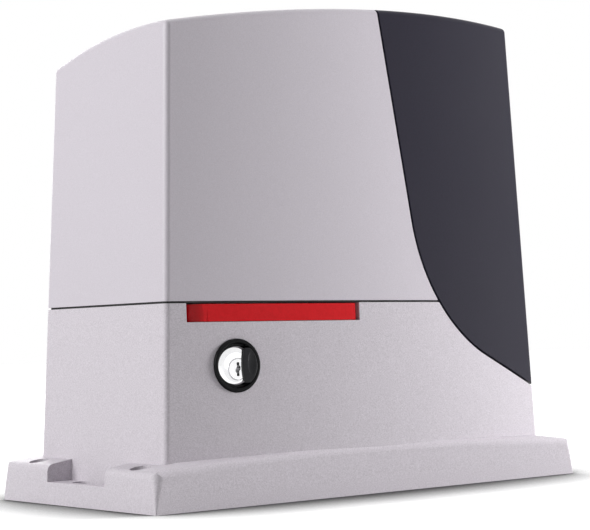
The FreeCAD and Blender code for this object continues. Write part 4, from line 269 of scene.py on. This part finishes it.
ferrite = grained(
    "ferrite", dark=(0.035, 0.034, 0.036), light=(0.06, 0.058, 0.06), roughness=(0.55, 0.7),
    sizes=(1800.0, 700.0, 20.0), bump=0.4, depth=0.0002)
wear_finish(["front_bearing", "rear_bearing", "worm_bearings", "output_shaft", "worm_shaft", "release_rod",
             "motor_top_bearing", "limit_lever"], ground_steel)
wear_finish(["levelling_screws", "gearbox_cover_screws", "pinion", "pinion_fastener", "release_slider",
             "slider_guides", "handle_spindle", "lock_nut", "lock_cam", "motor_screws", "transformer_clamp",
             "board_screws", "limit_switch_screws", "cover_screws"], zinc_steel)
wear_finish(["shaft_keys", "shaft_retainers", "clutch_ring", "release_fork", "armature_core"], dark_steel)
wear_finish(["worm_wheel"], gear_bronze)
wear_finish(["armature_winding", "commutator"], copper_wire)
wear_finish(["gearbox_cover_plate", "motor_flange", "motor_end_cap"], bare_aluminium)
wear_finish(["motor_can"], motor_enamel)
wear_finish(["motor_magnets", "brushes"], ferrite)

# %% [markdown]
# ## Plastics, rubber and the board
# Moulded plastics share the recipe with their own colours. Rubber is dark and dull. The board, the
# capacitors' sleeves and the transformer's tape shine through a clear outer layer, so they get a coat.

# %% Plastic and rubber finishes
rubber = grained(
    "rubber", dark=(0.012, 0.012, 0.012), light=(0.022, 0.022, 0.022), roughness=(0.6, 0.75),
    sizes=(1400.0, 500.0, 15.0), bump=0.5, depth=0.0003)
black_plastic = grained(
    "black_plastic", dark=(0.016, 0.016, 0.017), light=(0.026, 0.026, 0.028), roughness=(0.34, 0.46),
    sizes=(1700.0, 600.0, 20.0), bump=0.3, depth=0.0002)
carrier_plastic = grained(
    "carrier_plastic", dark=(0.045, 0.048, 0.052), light=(0.062, 0.066, 0.072), roughness=(0.42, 0.54),
    sizes=(1700.0, 600.0, 20.0), bump=0.35, depth=0.0002)
board_green = grained(
    "board_green", dark=(0.008, 0.075, 0.028), light=(0.012, 0.11, 0.042), roughness=(0.25, 0.34),
    sizes=(900.0, 260.0, 20.0), bump=0.15, depth=0.0001, coat=0.4)
terminal_green = grained(
    "terminal_green", dark=(0.035, 0.24, 0.085), light=(0.05, 0.30, 0.11), roughness=(0.34, 0.42),
    sizes=(1500.0, 500.0, 20.0), bump=0.2, depth=0.0001)
relay_blue = grained(
    "relay_blue", dark=(0.020, 0.07, 0.20), light=(0.028, 0.09, 0.25), roughness=(0.3, 0.4),
    sizes=(1500.0, 500.0, 20.0), bump=0.2, depth=0.0001)
capacitor_sleeve = grained(
    "capacitor_sleeve", dark=(0.010, 0.014, 0.035), light=(0.016, 0.022, 0.05), roughness=(0.18, 0.26),
    sizes=(1200.0, 500.0, 20.0), bump=0.15, depth=0.0001, coat=0.4)
winding_tape = grained(
    "winding_tape", dark=(0.50, 0.38, 0.06), light=(0.62, 0.48, 0.10), roughness=(0.2, 0.32),
    sizes=(700.0, 160.0, 30.0), bump=0.5, depth=0.0004, coat=0.5)
pale_plastic = grained(
    "pale_plastic", dark=(0.60, 0.60, 0.57), light=(0.68, 0.68, 0.65), roughness=(0.36, 0.46),
    sizes=(1500.0, 500.0, 20.0), bump=0.2, depth=0.0001)
wear_finish(["output_seal", "transformer_pads", "cable_grommet", "cover_seal"], rubber)
wear_finish(["brush_holder", "small_components", "limit_switch_body"], black_plastic)
wear_finish(["board_carrier"], carrier_plastic)
wear_finish(["control_board"], board_green)
wear_finish(["terminal_blocks"], terminal_green)
wear_finish(["relays"], relay_blue)
wear_finish(["capacitors"], capacitor_sleeve)
wear_finish(["transformer_coil"], winding_tape)
wear_finish(["button_open", "button_stop", "button_close"], pale_plastic)

# %% [markdown]
# ## The lock's place
# The lock's pieces are drawn square on, in millimetres from the lock's middle: x to the right, y into the
# casting and z up. One matrix then leans them onto the bowed front. Its directions come from the axis of the
# key's joint, so the drawn pieces stay on the CAD plug.

# %% Where the lock sits
key_joint = next(joint for joint in frame["joints"] if joint["name"] == "key_turn")
lock_axis = Vector(key_joint["axis"]).normalized()
bezel_low, bezel_high = (Vector(corner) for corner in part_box("lock_bezel"))
LOCK_HEIGHT = (bezel_low.z + bezel_high.z) / 2
plug_centre = Vector(key_joint["pos_m"])
lock_across = Vector((lock_axis.y, -lock_axis.x, 0.0))
LOCK_PLACE = Matrix((
    (lock_across.x, lock_axis.x, 0.0, plug_centre.x),
    (lock_across.y, lock_axis.y, 0.0, plug_centre.y),
    (0.0, 0.0, 1.0, LOCK_HEIGHT),
    (0.0, 0.0, 0.0, 1.0)))
PLUG_DROP = 1000 * (LOCK_HEIGHT - plug_centre.z)
print("lock at", [round(c, 4) for c in LOCK_PLACE.translation], "plug below by", round(PLUG_DROP, 2), "mm")

# %% [markdown]
# ## From loops of points to a piece
# Each lock piece is a small closed mesh, built with bmesh. A round one needs only loops of points, one
# behind the other, and the faces between them. All pieces end the same way: doubled points are merged, the
# faces are turned outwards, and edges sharper than a limit stay sharp under smooth shading.

# %% Helpers for small meshes
SHARP_ANGLE = math.radians(32)
SAME_PLACE = 1e-6
ROUND_STEPS = 96


def finished(name, builder, material):
    """Make a lock piece from a bmesh, with its place in its mesh and its faces outwards."""
    builder.transform(LOCK_PLACE)
    bmesh.ops.remove_doubles(builder, verts=builder.verts, dist=SAME_PLACE)
    bmesh.ops.recalc_face_normals(builder, faces=builder.faces)
    mesh = bpy.data.meshes.new(name)
    builder.to_mesh(mesh)
    builder.free()
    mesh.materials.append(material)
    mesh.polygons.foreach_set("use_smooth", [True] * len(mesh.polygons))
    mesh.set_sharp_from_angle(angle=SHARP_ANGLE)
    piece = bpy.data.objects.new(name, mesh)
    bpy.context.collection.objects.link(piece)
    print(name, len(mesh.polygons), "faces")
    return piece


def vertex(builder, x, y, z):
    """A point given in millimetres."""
    return builder.verts.new((x / 1000, y / 1000, z / 1000))


def circle(centre, radius, depth):
    """One loop of points, square to the lock's axis."""
    x, z = centre
    angles = [2 * math.pi * step / ROUND_STEPS for step in range(ROUND_STEPS)]
    return [(x + radius * math.cos(angle), depth, z + radius * math.sin(angle)) for angle in angles]


def between(loops):
    """Join closed loops of points into a band of faces that comes back to its first loop."""
    builder = bmesh.new()
    made = [[vertex(builder, *point) for point in loop] for loop in loops]
    for loop, following in zip(made, made[1:] + made[:1]):
        for i in range(ROUND_STEPS):
            j = (i + 1) % ROUND_STEPS
            builder.faces.new((loop[i], loop[j], following[j], following[i]))
    return builder


# %% [markdown]
# ## The lock's ring
# The real ring is a black moulding with a rolled front edge, inside which a shallow dish falls to the face.
# It is turned from a profile of radius and depth, the way a lathe would cut it, and the roll is an arc.

# %% The ring
RING_OUTSIDE, RING_INSIDE = 14.88, 10.6
RING_BACK, RING_SHOULDER = 1.1, 0.2
ROLL_MIDDLE, ROLL_RADIUS = 13.5, 1.36
ROLL_END, ROLL_STEPS = -150, 12
DISH_EDGE, DISH_FLOOR = (11.9, 0.35), 0.75


def arc(middle, radius, end, count):
    """Points of radius and depth on an arc that starts at its outermost point, with its end in degrees."""
    angles = [math.radians(end * i / count) for i in range(count + 1)]
    return [(middle + radius * math.cos(angle), radius * math.sin(angle)) for angle in angles]


profile = [(RING_OUTSIDE, RING_BACK), (RING_OUTSIDE, RING_SHOULDER)]
profile += arc(ROLL_MIDDLE, ROLL_RADIUS, ROLL_END, ROLL_STEPS)
profile += [DISH_EDGE, (RING_INSIDE, DISH_FLOOR), (RING_INSIDE, RING_BACK)]
lock_ring = finished("lock_ring", between([circle((0.0, 0.0), *point) for point in profile]), lock_black)
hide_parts("lock_bezel")
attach(lock_ring, "base")

# %% [markdown]
# ## The chrome face with its barrel
# A polished disc fills the left part of the dish, off its centre. It is bored for the turning plug, which is
# a CAD node, and the bore's mouth is sunk a little. The barrel behind it is one piece with the disc, so the
# loops run round the rim, over the face, down the bore and back along the barrel.

# %% The face
DISC_SHIFT, DISC_RADIUS = -2.3, 10.1
FACE_DEPTH, DISC_BACK = -0.80, 1.0
BORE_RADIUS, BARREL_RADIUS, BARREL_END = 5.76, 9.5, 28.0
rim = [(DISC_RADIUS, DISC_BACK), (DISC_RADIUS, -0.50), (10.0, -0.70), (9.75, FACE_DEPTH)]
bore = [(6.45, FACE_DEPTH), (5.95, -0.55), (BORE_RADIUS, -0.30), (BORE_RADIUS, BARREL_END)]
barrel = [(BARREL_RADIUS, BARREL_END), (BARREL_RADIUS, DISC_BACK)]
face_loops = [circle((DISC_SHIFT, 0.0), *point) for point in rim]
face_loops += [circle((0.0, -PLUG_DROP), *point) for point in bore]
face_loops += [circle((0.0, 0.0), *point) for point in barrel]
lock_face = finished("lock_face", between(face_loops), lock_chrome)
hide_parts("lock_barrel")
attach(lock_face, "base")

# %% [markdown]
# ## The shutter with its finger dimple
# The shutter slides over the keyhole. Its left edge bulges towards the plug, its right edge follows the
# ring, and a fingertip finds a dimple in it. A grid of points carries all three: each point knows how far it
# is across and up, its depth adds the rolled edge and the dimple, and a flat grid closes the back.

# %% The shutter
TAB_HALF_HEIGHT = 9.6
BULGE_MIDDLE, BULGE_RADIUS, TAB_RIGHT_RADIUS = 35.5, 33.0, 12.1
TAB_FRONT, TAB_BACK = -2.15, -1.12
ROLL_DEPTH, ROLL_WIDTH = 0.30, 0.7
DIMPLE_ACROSS, DIMPLE_UP = (8.3, 2.5), (1.2, 6.4)
DIMPLE_DEPTH, DIMPLE_SHAPE = 0.62, 0.6
TAB_COLUMNS, TAB_ROWS = 36, 48


def shutter_point(u, v):
    """A point of the shutter's front, u from its bulging left edge to the ring, v from bottom to top."""
    z = TAB_HALF_HEIGHT * (2 * v - 1)
    left = BULGE_MIDDLE - math.sqrt(BULGE_RADIUS ** 2 - z ** 2)
    right = math.sqrt(TAB_RIGHT_RADIUS ** 2 - z ** 2)
    x = left + (right - left) * u
    edge = min(x - left, right - x, TAB_HALF_HEIGHT - abs(z))
    roll = ROLL_DEPTH * max(0.0, 1 - edge / ROLL_WIDTH) ** 2
    (middle_x, half_x), (middle_z, half_z) = DIMPLE_ACROSS, DIMPLE_UP
    inside = ((x - middle_x) / half_x) ** 2 + ((z - middle_z) / half_z) ** 2
    dimple = DIMPLE_DEPTH * max(0.0, 1 - inside) ** DIMPLE_SHAPE
    return x, TAB_FRONT + roll + dimple, z


def shutter_builder(columns, rows):
    """A closed plate from two grids of points and the band round their edges."""
    builder = bmesh.new()
    front, back = {}, {}
    for i in range(columns + 1):
        for j in range(rows + 1):
            x, y, z = shutter_point(i / columns, j / rows)
            front[i, j] = vertex(builder, x, y, z)
            back[i, j] = vertex(builder, x, TAB_BACK, z)
    for i in range(columns):
        for j in range(rows):
            for side in (front, back):
                builder.faces.new((side[i, j], side[i + 1, j], side[i + 1, j + 1], side[i, j + 1]))
    rim = [(i, 0) for i in range(columns)] + [(columns, j) for j in range(rows)]
    rim += [(i, rows) for i in range(columns, 0, -1)] + [(0, j) for j in range(rows, 0, -1)]
    for a, b in zip(rim, rim[1:] + rim[:1]):
        builder.faces.new((front[a], front[b], back[b], back[a]))
    return builder


shutter_plastic = grained(
    "shutter_plastic", dark=(0.006, 0.006, 0.008), light=(0.011, 0.011, 0.014), roughness=(0.20, 0.30),
    sizes=(1400.0, 500.0, 30.0), bump=0.08, depth=0.0001, specular=0.22)
shutter_tab = finished("shutter_tab", shutter_builder(TAB_COLUMNS, TAB_ROWS), shutter_plastic)
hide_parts("lock_shutter")
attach(shutter_tab, "shutter")

# %% [markdown]
# ## Pieces that are grown
# What repeats is left to Geometry Nodes: a tree with named inputs draws one and sets out the rest. The tree
# is evaluated once on an empty mesh, its inputs set before that by their identifiers, and the result is kept
# as a plain mesh. Each tree makes its instances real and then sets its materials, because instances don't
# leave Blender.

# %% A tree's sockets and a piece grown from it
def growth_tree(name, inputs):
    """A Geometry Nodes tree with named inputs and one geometry output."""
    tree = bpy.data.node_groups.new(name, "GeometryNodeTree")
    tree.is_modifier = True
    for title, kind, value in inputs:
        socket = tree.interface.new_socket(title, in_out="INPUT", socket_type="NodeSocket" + kind)
        if value is not None:
            socket.default_value = value
    tree.interface.new_socket("Geometry", in_out="OUTPUT", socket_type="NodeSocketGeometry")
    return tree, tree.nodes.new("NodeGroupInput").outputs, tree.nodes.new("NodeGroupOutput")


def made_real(tree, geometry, centre, **turn):
    """Carry the geometry to its place and make its instances real."""
    placed = add(tree, "GeometryNodeTransform", Geometry=geometry, Translation=centre, **turn)
    return add(tree, "GeometryNodeRealizeInstances", Geometry=placed)


def grown(name, tree, **values):
    """Evaluate the tree on an empty mesh and keep the result as a plain mesh."""
    host = bpy.data.objects.new(name, bpy.data.meshes.new(name + "_seed"))
    bpy.context.collection.objects.link(host)
    growth = host.modifiers.new("growth", "NODES")
    growth.node_group = tree
    for item in tree.interface.items_tree:
        key = item.name.replace(" ", "_").lower()
        if item.in_out == "INPUT" and key in values:
            growth[item.identifier] = values[key]
    bpy.context.view_layer.update()
    evaluated = host.evaluated_get(bpy.context.evaluated_depsgraph_get())
    mesh = bpy.data.meshes.new_from_object(evaluated)
    host.modifiers.remove(growth)
    host.data = mesh
    print(name, len(mesh.polygons), "faces")
    return host


# %% [markdown]
# ## Turns of tape round the transformer
# A ring transformer is wrapped in yellow tape, turn beside turn. One turn is a thin band that follows the
# ring's rounded section. The tree draws the band once and sets it round the ring as many times as asked, and
# every other turn is a little larger, because each lies partly on the last.

# %% The tape
TAPE_CORNER, CORNER_STEPS = 0.005, 6
TAPE_OVERLAP = 0.005
QUARTER_TURN = math.pi / 2
TAPE_HOLE, TAPE_CLEARANCE = 0.014, 0.0004
TAPE_WIDTH, TAPE_THICKNESS, TAPE_TURNS = 0.0048, 0.0003, 36


def tape_tree():
    """One band of tape, repeated round a ring."""
    tree, size, leave = growth_tree("tape_turns", [
        ("Across", "Float", None), ("High", "Float", None), ("Mean Radius", "Float", None),
        ("Tape", "Float", TAPE_WIDTH), ("Thick", "Float", TAPE_THICKNESS), ("Turns", "Int", TAPE_TURNS),
        ("Centre", "Vector", None), ("Finish", "Material", None)])
    outline = add(tree, "GeometryNodeCurvePrimitiveQuadrilateral", Width=size["Across"], Height=size["High"])
    rounded = add(tree, "GeometryNodeFilletCurve", mode="POLY", Curve=outline, Radius=TAPE_CORNER,
                  Count=CORNER_STEPS)
    strip = add(tree, "GeometryNodeCurvePrimitiveQuadrilateral", Width=size["Thick"], Height=size["Tape"])
    band = add(tree, "GeometryNodeCurveToMesh", Curve=rounded, Profile_Curve=strip)
    outwards = add(tree, "ShaderNodeCombineXYZ", X=size["Mean Radius"])
    upright = add(tree, "GeometryNodeTransform", Geometry=band, Translation=outwards,
                  Rotation=(QUARTER_TURN, 0.0, 0.0))
    seats = add(tree, "GeometryNodeMeshLine", Count=size["Turns"], Offset=(0.0, 0.0, 0.0))
    index = add(tree, "GeometryNodeInputIndex")
    share = calculate(tree, "DIVIDE", index, size["Turns"])
    angle = calculate(tree, "MULTIPLY", share, 2 * math.pi)
    turn = add(tree, "ShaderNodeCombineXYZ", Z=angle)
    odd = calculate(tree, "MODULO", index, 2.0)
    larger = calculate(tree, "MULTIPLY_ADD", odd, TAPE_OVERLAP, 1.0)
    turns = add(tree, "GeometryNodeInstanceOnPoints", Points=seats, Instance=upright, Rotation=turn,
                Scale=larger)
    real = made_real(tree, turns, size["Centre"])
    finish = add(tree, "GeometryNodeSetMaterial", Geometry=real, Material=size["Finish"])
    feed(tree, leave.inputs["Geometry"], finish)
    return tree


low, high = (Vector(corner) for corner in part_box("transformer_coil"))
coil_radius = (high.x - low.x) / 2
coil_tape = grown("coil_tape", tape_tree(), across=coil_radius - TAPE_HOLE + TAPE_CLEARANCE,
                  high=high.z - low.z + TAPE_CLEARANCE, mean_radius=(coil_radius + TAPE_HOLE) / 2,
                  centre=tuple((low + high) / 2), finish=winding_tape)
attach(coil_tape, "base")
print("tape box", *([round(c, 4) for c in coil_tape.bound_box[corner]] for corner in (0, 6)))

# %% [markdown]
# ## Screws of the terminals
# Each terminal has three small slotted screws, all alike. The tree sets one screw in a row of three, and that
# row in a row of blocks. The slot is not cut into the head: a thin dark plate laid on it paints the shade
# that would fall in the slot. The plate carries a mark, so that it can take its own dark material after the
# instances are made real.

# %% The terminal screws
SLOT_SIZE, SLOT_LIFT = (0.0022, 0.0004, 0.00004), 0.00041
SLOT_TILT = 0.5
SCREWS_IN_BLOCK, HEAD_SIDES = 3, 20
FIRST_SCREW = (0.0038, 0.0025, 0.0075)


def in_row(tree, geometry, count, spacing):
    """Repeat the geometry along x."""
    step = add(tree, "ShaderNodeCombineXYZ", X=spacing)
    line = add(tree, "GeometryNodeMeshLine", Count=count, Offset=step)
    return add(tree, "GeometryNodeInstanceOnPoints", Points=line, Instance=geometry)


def screw_tree():
    """One slotted screw, repeated along each block and from block to block."""
    tree, size, leave = growth_tree("terminal_screw_row", [
        ("Radius", "Float", 0.0013), ("Depth", "Float", 0.0008), ("Step", "Float", 0.0042),
        ("Blocks", "Int", 5), ("Pitch", "Float", 0.016), ("First", "Vector", None),
        ("Finish", "Material", None), ("Slot Finish", "Material", None)])
    head = add(tree, "GeometryNodeMeshCylinder", Vertices=HEAD_SIDES, Radius=size["Radius"],
               Depth=size["Depth"])
    # The slot is painted shade: a thin plate on the head, given a dark material below.
    slot = add(tree, "GeometryNodeMeshCube", Size=SLOT_SIZE)
    lifted = add(tree, "GeometryNodeTransform", Geometry=slot, Translation=(0.0, 0.0, SLOT_LIFT))
    marked = add(tree, "GeometryNodeStoreNamedAttribute", data_type="BOOLEAN", domain="FACE",
                 Geometry=lifted, Name="in_slot", Value=True)
    screw = add(tree, "GeometryNodeJoinGeometry", Geometry=marked)
    feed(tree, screw.inputs["Geometry"], head)
    facing = add(tree, "GeometryNodeTransform", Geometry=screw, Rotation=(QUARTER_TURN, SLOT_TILT, 0.0))
    block = in_row(tree, facing, SCREWS_IN_BLOCK, size["Step"])
    blocks = in_row(tree, block, size["Blocks"], size["Pitch"])
    real = made_real(tree, blocks, size["First"])
    steel = add(tree, "GeometryNodeSetMaterial", Geometry=real, Material=size["Finish"])
    in_slot = add(tree, "GeometryNodeInputNamedAttribute", data_type="BOOLEAN", Name="in_slot")
    # The marked plate takes the dark material that paints the slot's shade.
    dark = add(tree, "GeometryNodeSetMaterial", Geometry=steel, Selection=in_slot,
               Material=size["Slot Finish"])
    feed(tree, leave.inputs["Geometry"], dark)
    return tree


blocks_low = Vector(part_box("terminal_blocks")[0])
first_screw = tuple(corner + inset for corner, inset in zip(blocks_low, FIRST_SCREW))
terminal_screws = grown("terminal_screws", screw_tree(), first=first_screw, finish=zinc_steel,
                        slot_finish=black_plastic)
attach(terminal_screws, "base")

# %% [markdown]
# ## Small parts of the board
# A board like this carries rows of small ceramic parts. The tree sets them on a grid over the free band
# above the relays. A fixed seed drops some and turns others, so the band looks assembled and not tiled.

# %% The small parts
CHIP_SIZE = (0.0024, 0.0013, 0.0008)
CHIPS_KEPT = 0.8
BAND_HEIGHT, BAND_MARGIN, BAND_ABOVE_RELAYS = 0.0075, 0.006, 0.0065
NO_TURN, ONE_QUARTER = 0, 1


def chip_tree():
    """Small boxes on an upright grid, some left out and some turned."""
    tree, size, leave = growth_tree("board_chips", [
        ("Width", "Float", None), ("Height", "Float", BAND_HEIGHT), ("Columns", "Int", 14),
        ("Rows", "Int", 3), ("Seed", "Int", 7), ("Centre", "Vector", None), ("Finish", "Material", None)])
    grid = add(tree, "GeometryNodeMeshGrid", Size_X=size["Width"], Size_Y=size["Height"],
               Vertices_X=size["Columns"], Vertices_Y=size["Rows"])
    chip = add(tree, "GeometryNodeMeshCube", Size=CHIP_SIZE)
    keep = add(tree, "FunctionNodeRandomValue", data_type="BOOLEAN", Probability=CHIPS_KEPT,
               Seed=size["Seed"])
    quarters = add(tree, "FunctionNodeRandomValue", data_type="INT", Min=NO_TURN, Max=ONE_QUARTER,
                   Seed=size["Seed"])
    angle = calculate(tree, "MULTIPLY", quarters.outputs["Value"], QUARTER_TURN)
    turn = add(tree, "ShaderNodeCombineXYZ", Z=angle)
    chips = add(tree, "GeometryNodeInstanceOnPoints", Points=grid, Instance=chip,
                Selection=keep.outputs["Value"], Rotation=turn)
    real = made_real(tree, chips, size["Centre"], Rotation=(QUARTER_TURN, 0.0, 0.0))
    finish = add(tree, "GeometryNodeSetMaterial", Geometry=real, Material=size["Finish"])
    feed(tree, leave.inputs["Geometry"], finish)
    return tree


low, high = (Vector(corner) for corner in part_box("relays"))
board_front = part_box("control_board")[0][1]
chip_centre = ((low.x + high.x) / 2, board_front - CHIP_SIZE[2] / 2, high.z + BAND_ABOVE_RELAYS)
board_chips = grown("board_chips", chip_tree(), width=high.x - low.x - BAND_MARGIN, centre=chip_centre,
                    finish=ferrite)
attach(board_chips, "base")

# %% [markdown]
# ## The floor
# The floor is pale and has to read as white. A shadow is painted under the foot: where an occlusion node
# finds little open sky, the base colour is painted darker and the glow is dimmed. For rays from the eye and
# from gloss the floor glows, a little more with distance, so it ends in the white world with no horizon.
# Other rays meet a plain light grey, with no painted shadow.

# %% The floor
FLOOR_REACH = 8.0
PAINTED_SHADOW_COLOUR, FLOOR_PALE = (0.03, 0.03, 0.03, 1.0), (0.52, 0.52, 0.52, 1.0)
WHITE = (1.0, 1.0, 1.0, 1.0)
FLOOR_SPECULAR, FLOOR_ROUGHNESS = 0.2, 0.8
CONTACT_REACH, CONTACT_SAMPLES = 0.075, 16
SKY_SHUT, SKY_OPEN = 0.55, 0.98
GLOW_FALL = 1.8
NEAR, FAR, GLOW_NEAR, GLOW_FAR = 0.2, 1.4, 0.66, 1.0


def seen_rays(tree):
    """1 for rays from the eye, from gloss and through glass, 0 for light that falls on things."""
    rays = add(tree, "ShaderNodeLightPath").outputs
    glassy = calculate(tree, "MAXIMUM", rays["Is Glossy Ray"], rays["Is Transmission Ray"])
    return calculate(tree, "MAXIMUM", rays["Is Camera Ray"], glassy)


def floor_material():
    """Pale, with a painted shadow at the contact, and glowing only for the rays that see it."""
    material, tree, shader = new_material("studio_floor", specular=FLOOR_SPECULAR)
    shader.inputs["Roughness"].default_value = FLOOR_ROUGHNESS
    shader.inputs["Emission Color"].default_value = WHITE
    # Painted shadow: the occlusion node darkens the base colour close under the foot, for the rays that see
    # the floor.
    contact = add(tree, "ShaderNodeAmbientOcclusion", samples=CONTACT_SAMPLES, Distance=CONTACT_REACH)
    painted_shadow_tone = add(tree, "ShaderNodeMapRange", Value=contact.outputs["AO"], From_Min=SKY_SHUT, From_Max=SKY_OPEN)
    seen = seen_rays(tree)
    unseen = calculate(tree, "SUBTRACT", 1.0, seen)
    paleness = calculate(tree, "MAXIMUM", painted_shadow_tone, unseen)
    tint = add(tree, "ShaderNodeMix", data_type="RGBA", Factor=paleness, A=PAINTED_SHADOW_COLOUR, B=FLOOR_PALE)
    # The glow is dimmed by the same painted shadow, and raised with distance to keep the far floor white.
    painted_shade_glow = calculate(tree, "MULTIPLY", calculate(tree, "POWER", painted_shadow_tone, GLOW_FALL), seen)
    place = add(tree, "ShaderNodeTexCoord").outputs["Object"]
    distance = add(tree, "ShaderNodeVectorMath", operation="LENGTH", Vector=place).outputs["Value"]
    away = add(tree, "ShaderNodeMapRange", interpolation_type="SMOOTHSTEP", Value=distance, From_Min=NEAR,
               From_Max=FAR, To_Min=GLOW_NEAR, To_Max=GLOW_FAR)
    feed(tree, shader.inputs["Base Color"], tint.outputs["Result"])
    feed(tree, shader.inputs["Emission Strength"], calculate(tree, "MULTIPLY", painted_shade_glow, away))
    return material


floor_mesh = bpy.data.meshes.new("floor")
corners = [(x * FLOOR_REACH, y * FLOOR_REACH, 0.0) for x, y in ((-1, -1), (1, -1), (1, 1), (-1, 1))]
floor_mesh.from_pydata(corners, [], [(0, 1, 2, 3)])
floor_mesh.materials.append(floor_material())
floor = bpy.data.objects.new("floor", floor_mesh)
bpy.context.collection.objects.link(floor)
print("floor", len(floor_mesh.polygons), "face,", 2 * FLOOR_REACH, "m wide")

# %% [markdown]
# ## The world
# The world is white to the eye and to reflections, and a faint grey to everything else, so that the lamps
# and not the sky model the bowed front.

# %% The world
WORLD_ON_THINGS, WORLD_SEEN = 0.07, 1.0
world = bpy.data.worlds.new("studio")
bpy.context.scene.world = world
world.use_nodes = True
sky = world.node_tree
sky.nodes.clear()
brightness = add(sky, "ShaderNodeMapRange", Value=seen_rays(sky), To_Min=WORLD_ON_THINGS, To_Max=WORLD_SEEN)
background = add(sky, "ShaderNodeBackground", Color=WHITE, Strength=brightness)
add(sky, "ShaderNodeOutputWorld", Surface=background)
print("world nodes", len(sky.nodes))

# %% [markdown]
# ## The lamps
# A left softbox lights the left end. A second, to the right, grazes the bowed front, so its tone climbs from
# left to right. It is hidden from gloss, or the dark panel would mirror it. A large one above fills the top,
# and one behind lights the back, which the eye at the front never sees.

# %% The lamps
LAMPS = {
    "left_softbox": dict(place=(-2.0, 0.40, 0.85), aim=(-0.1, 0.0, 0.15), size=(1.3, 1.3), power=37.0),
    "right_softbox": dict(place=(1.20, -0.62, 0.50), aim=(0.05, -0.05, 0.15), size=(0.4, 0.6), power=27.0),
    "back_softbox": dict(place=(0.7, 2.0, 0.8), aim=(0.0, 0.0, 0.13), size=(1.3, 1.3), power=17.0),
    "top_softbox": dict(place=(0.1, 0.3, 2.0), aim=(0.0, 0.0, 0.1), size=(1.6, 1.6), power=12.0),
}


def soft_lamp(name, place, aim, size, power):
    """A rectangular area lamp that faces a point."""
    data = bpy.data.lights.new(name, "AREA")
    data.shape = "RECTANGLE"
    data.size, data.size_y = size
    data.energy = power
    lamp = bpy.data.objects.new(name, data)
    look = (Vector(aim) - Vector(place)).normalized()
    lamp.matrix_world = Matrix.Translation(place) @ look.to_track_quat("-Z", "Y").to_matrix().to_4x4()
    bpy.context.collection.objects.link(lamp)
    return lamp


lamps = {name: soft_lamp(name, **values) for name, values in LAMPS.items()}
lamps["right_softbox"].visible_glossy = False
print("lamps", len(lamps))

# %% [markdown]
# ## View settings and the end
# The plain Standard view shows colours as they are.

# %% The end
bpy.context.scene.view_settings.view_transform = "Standard"
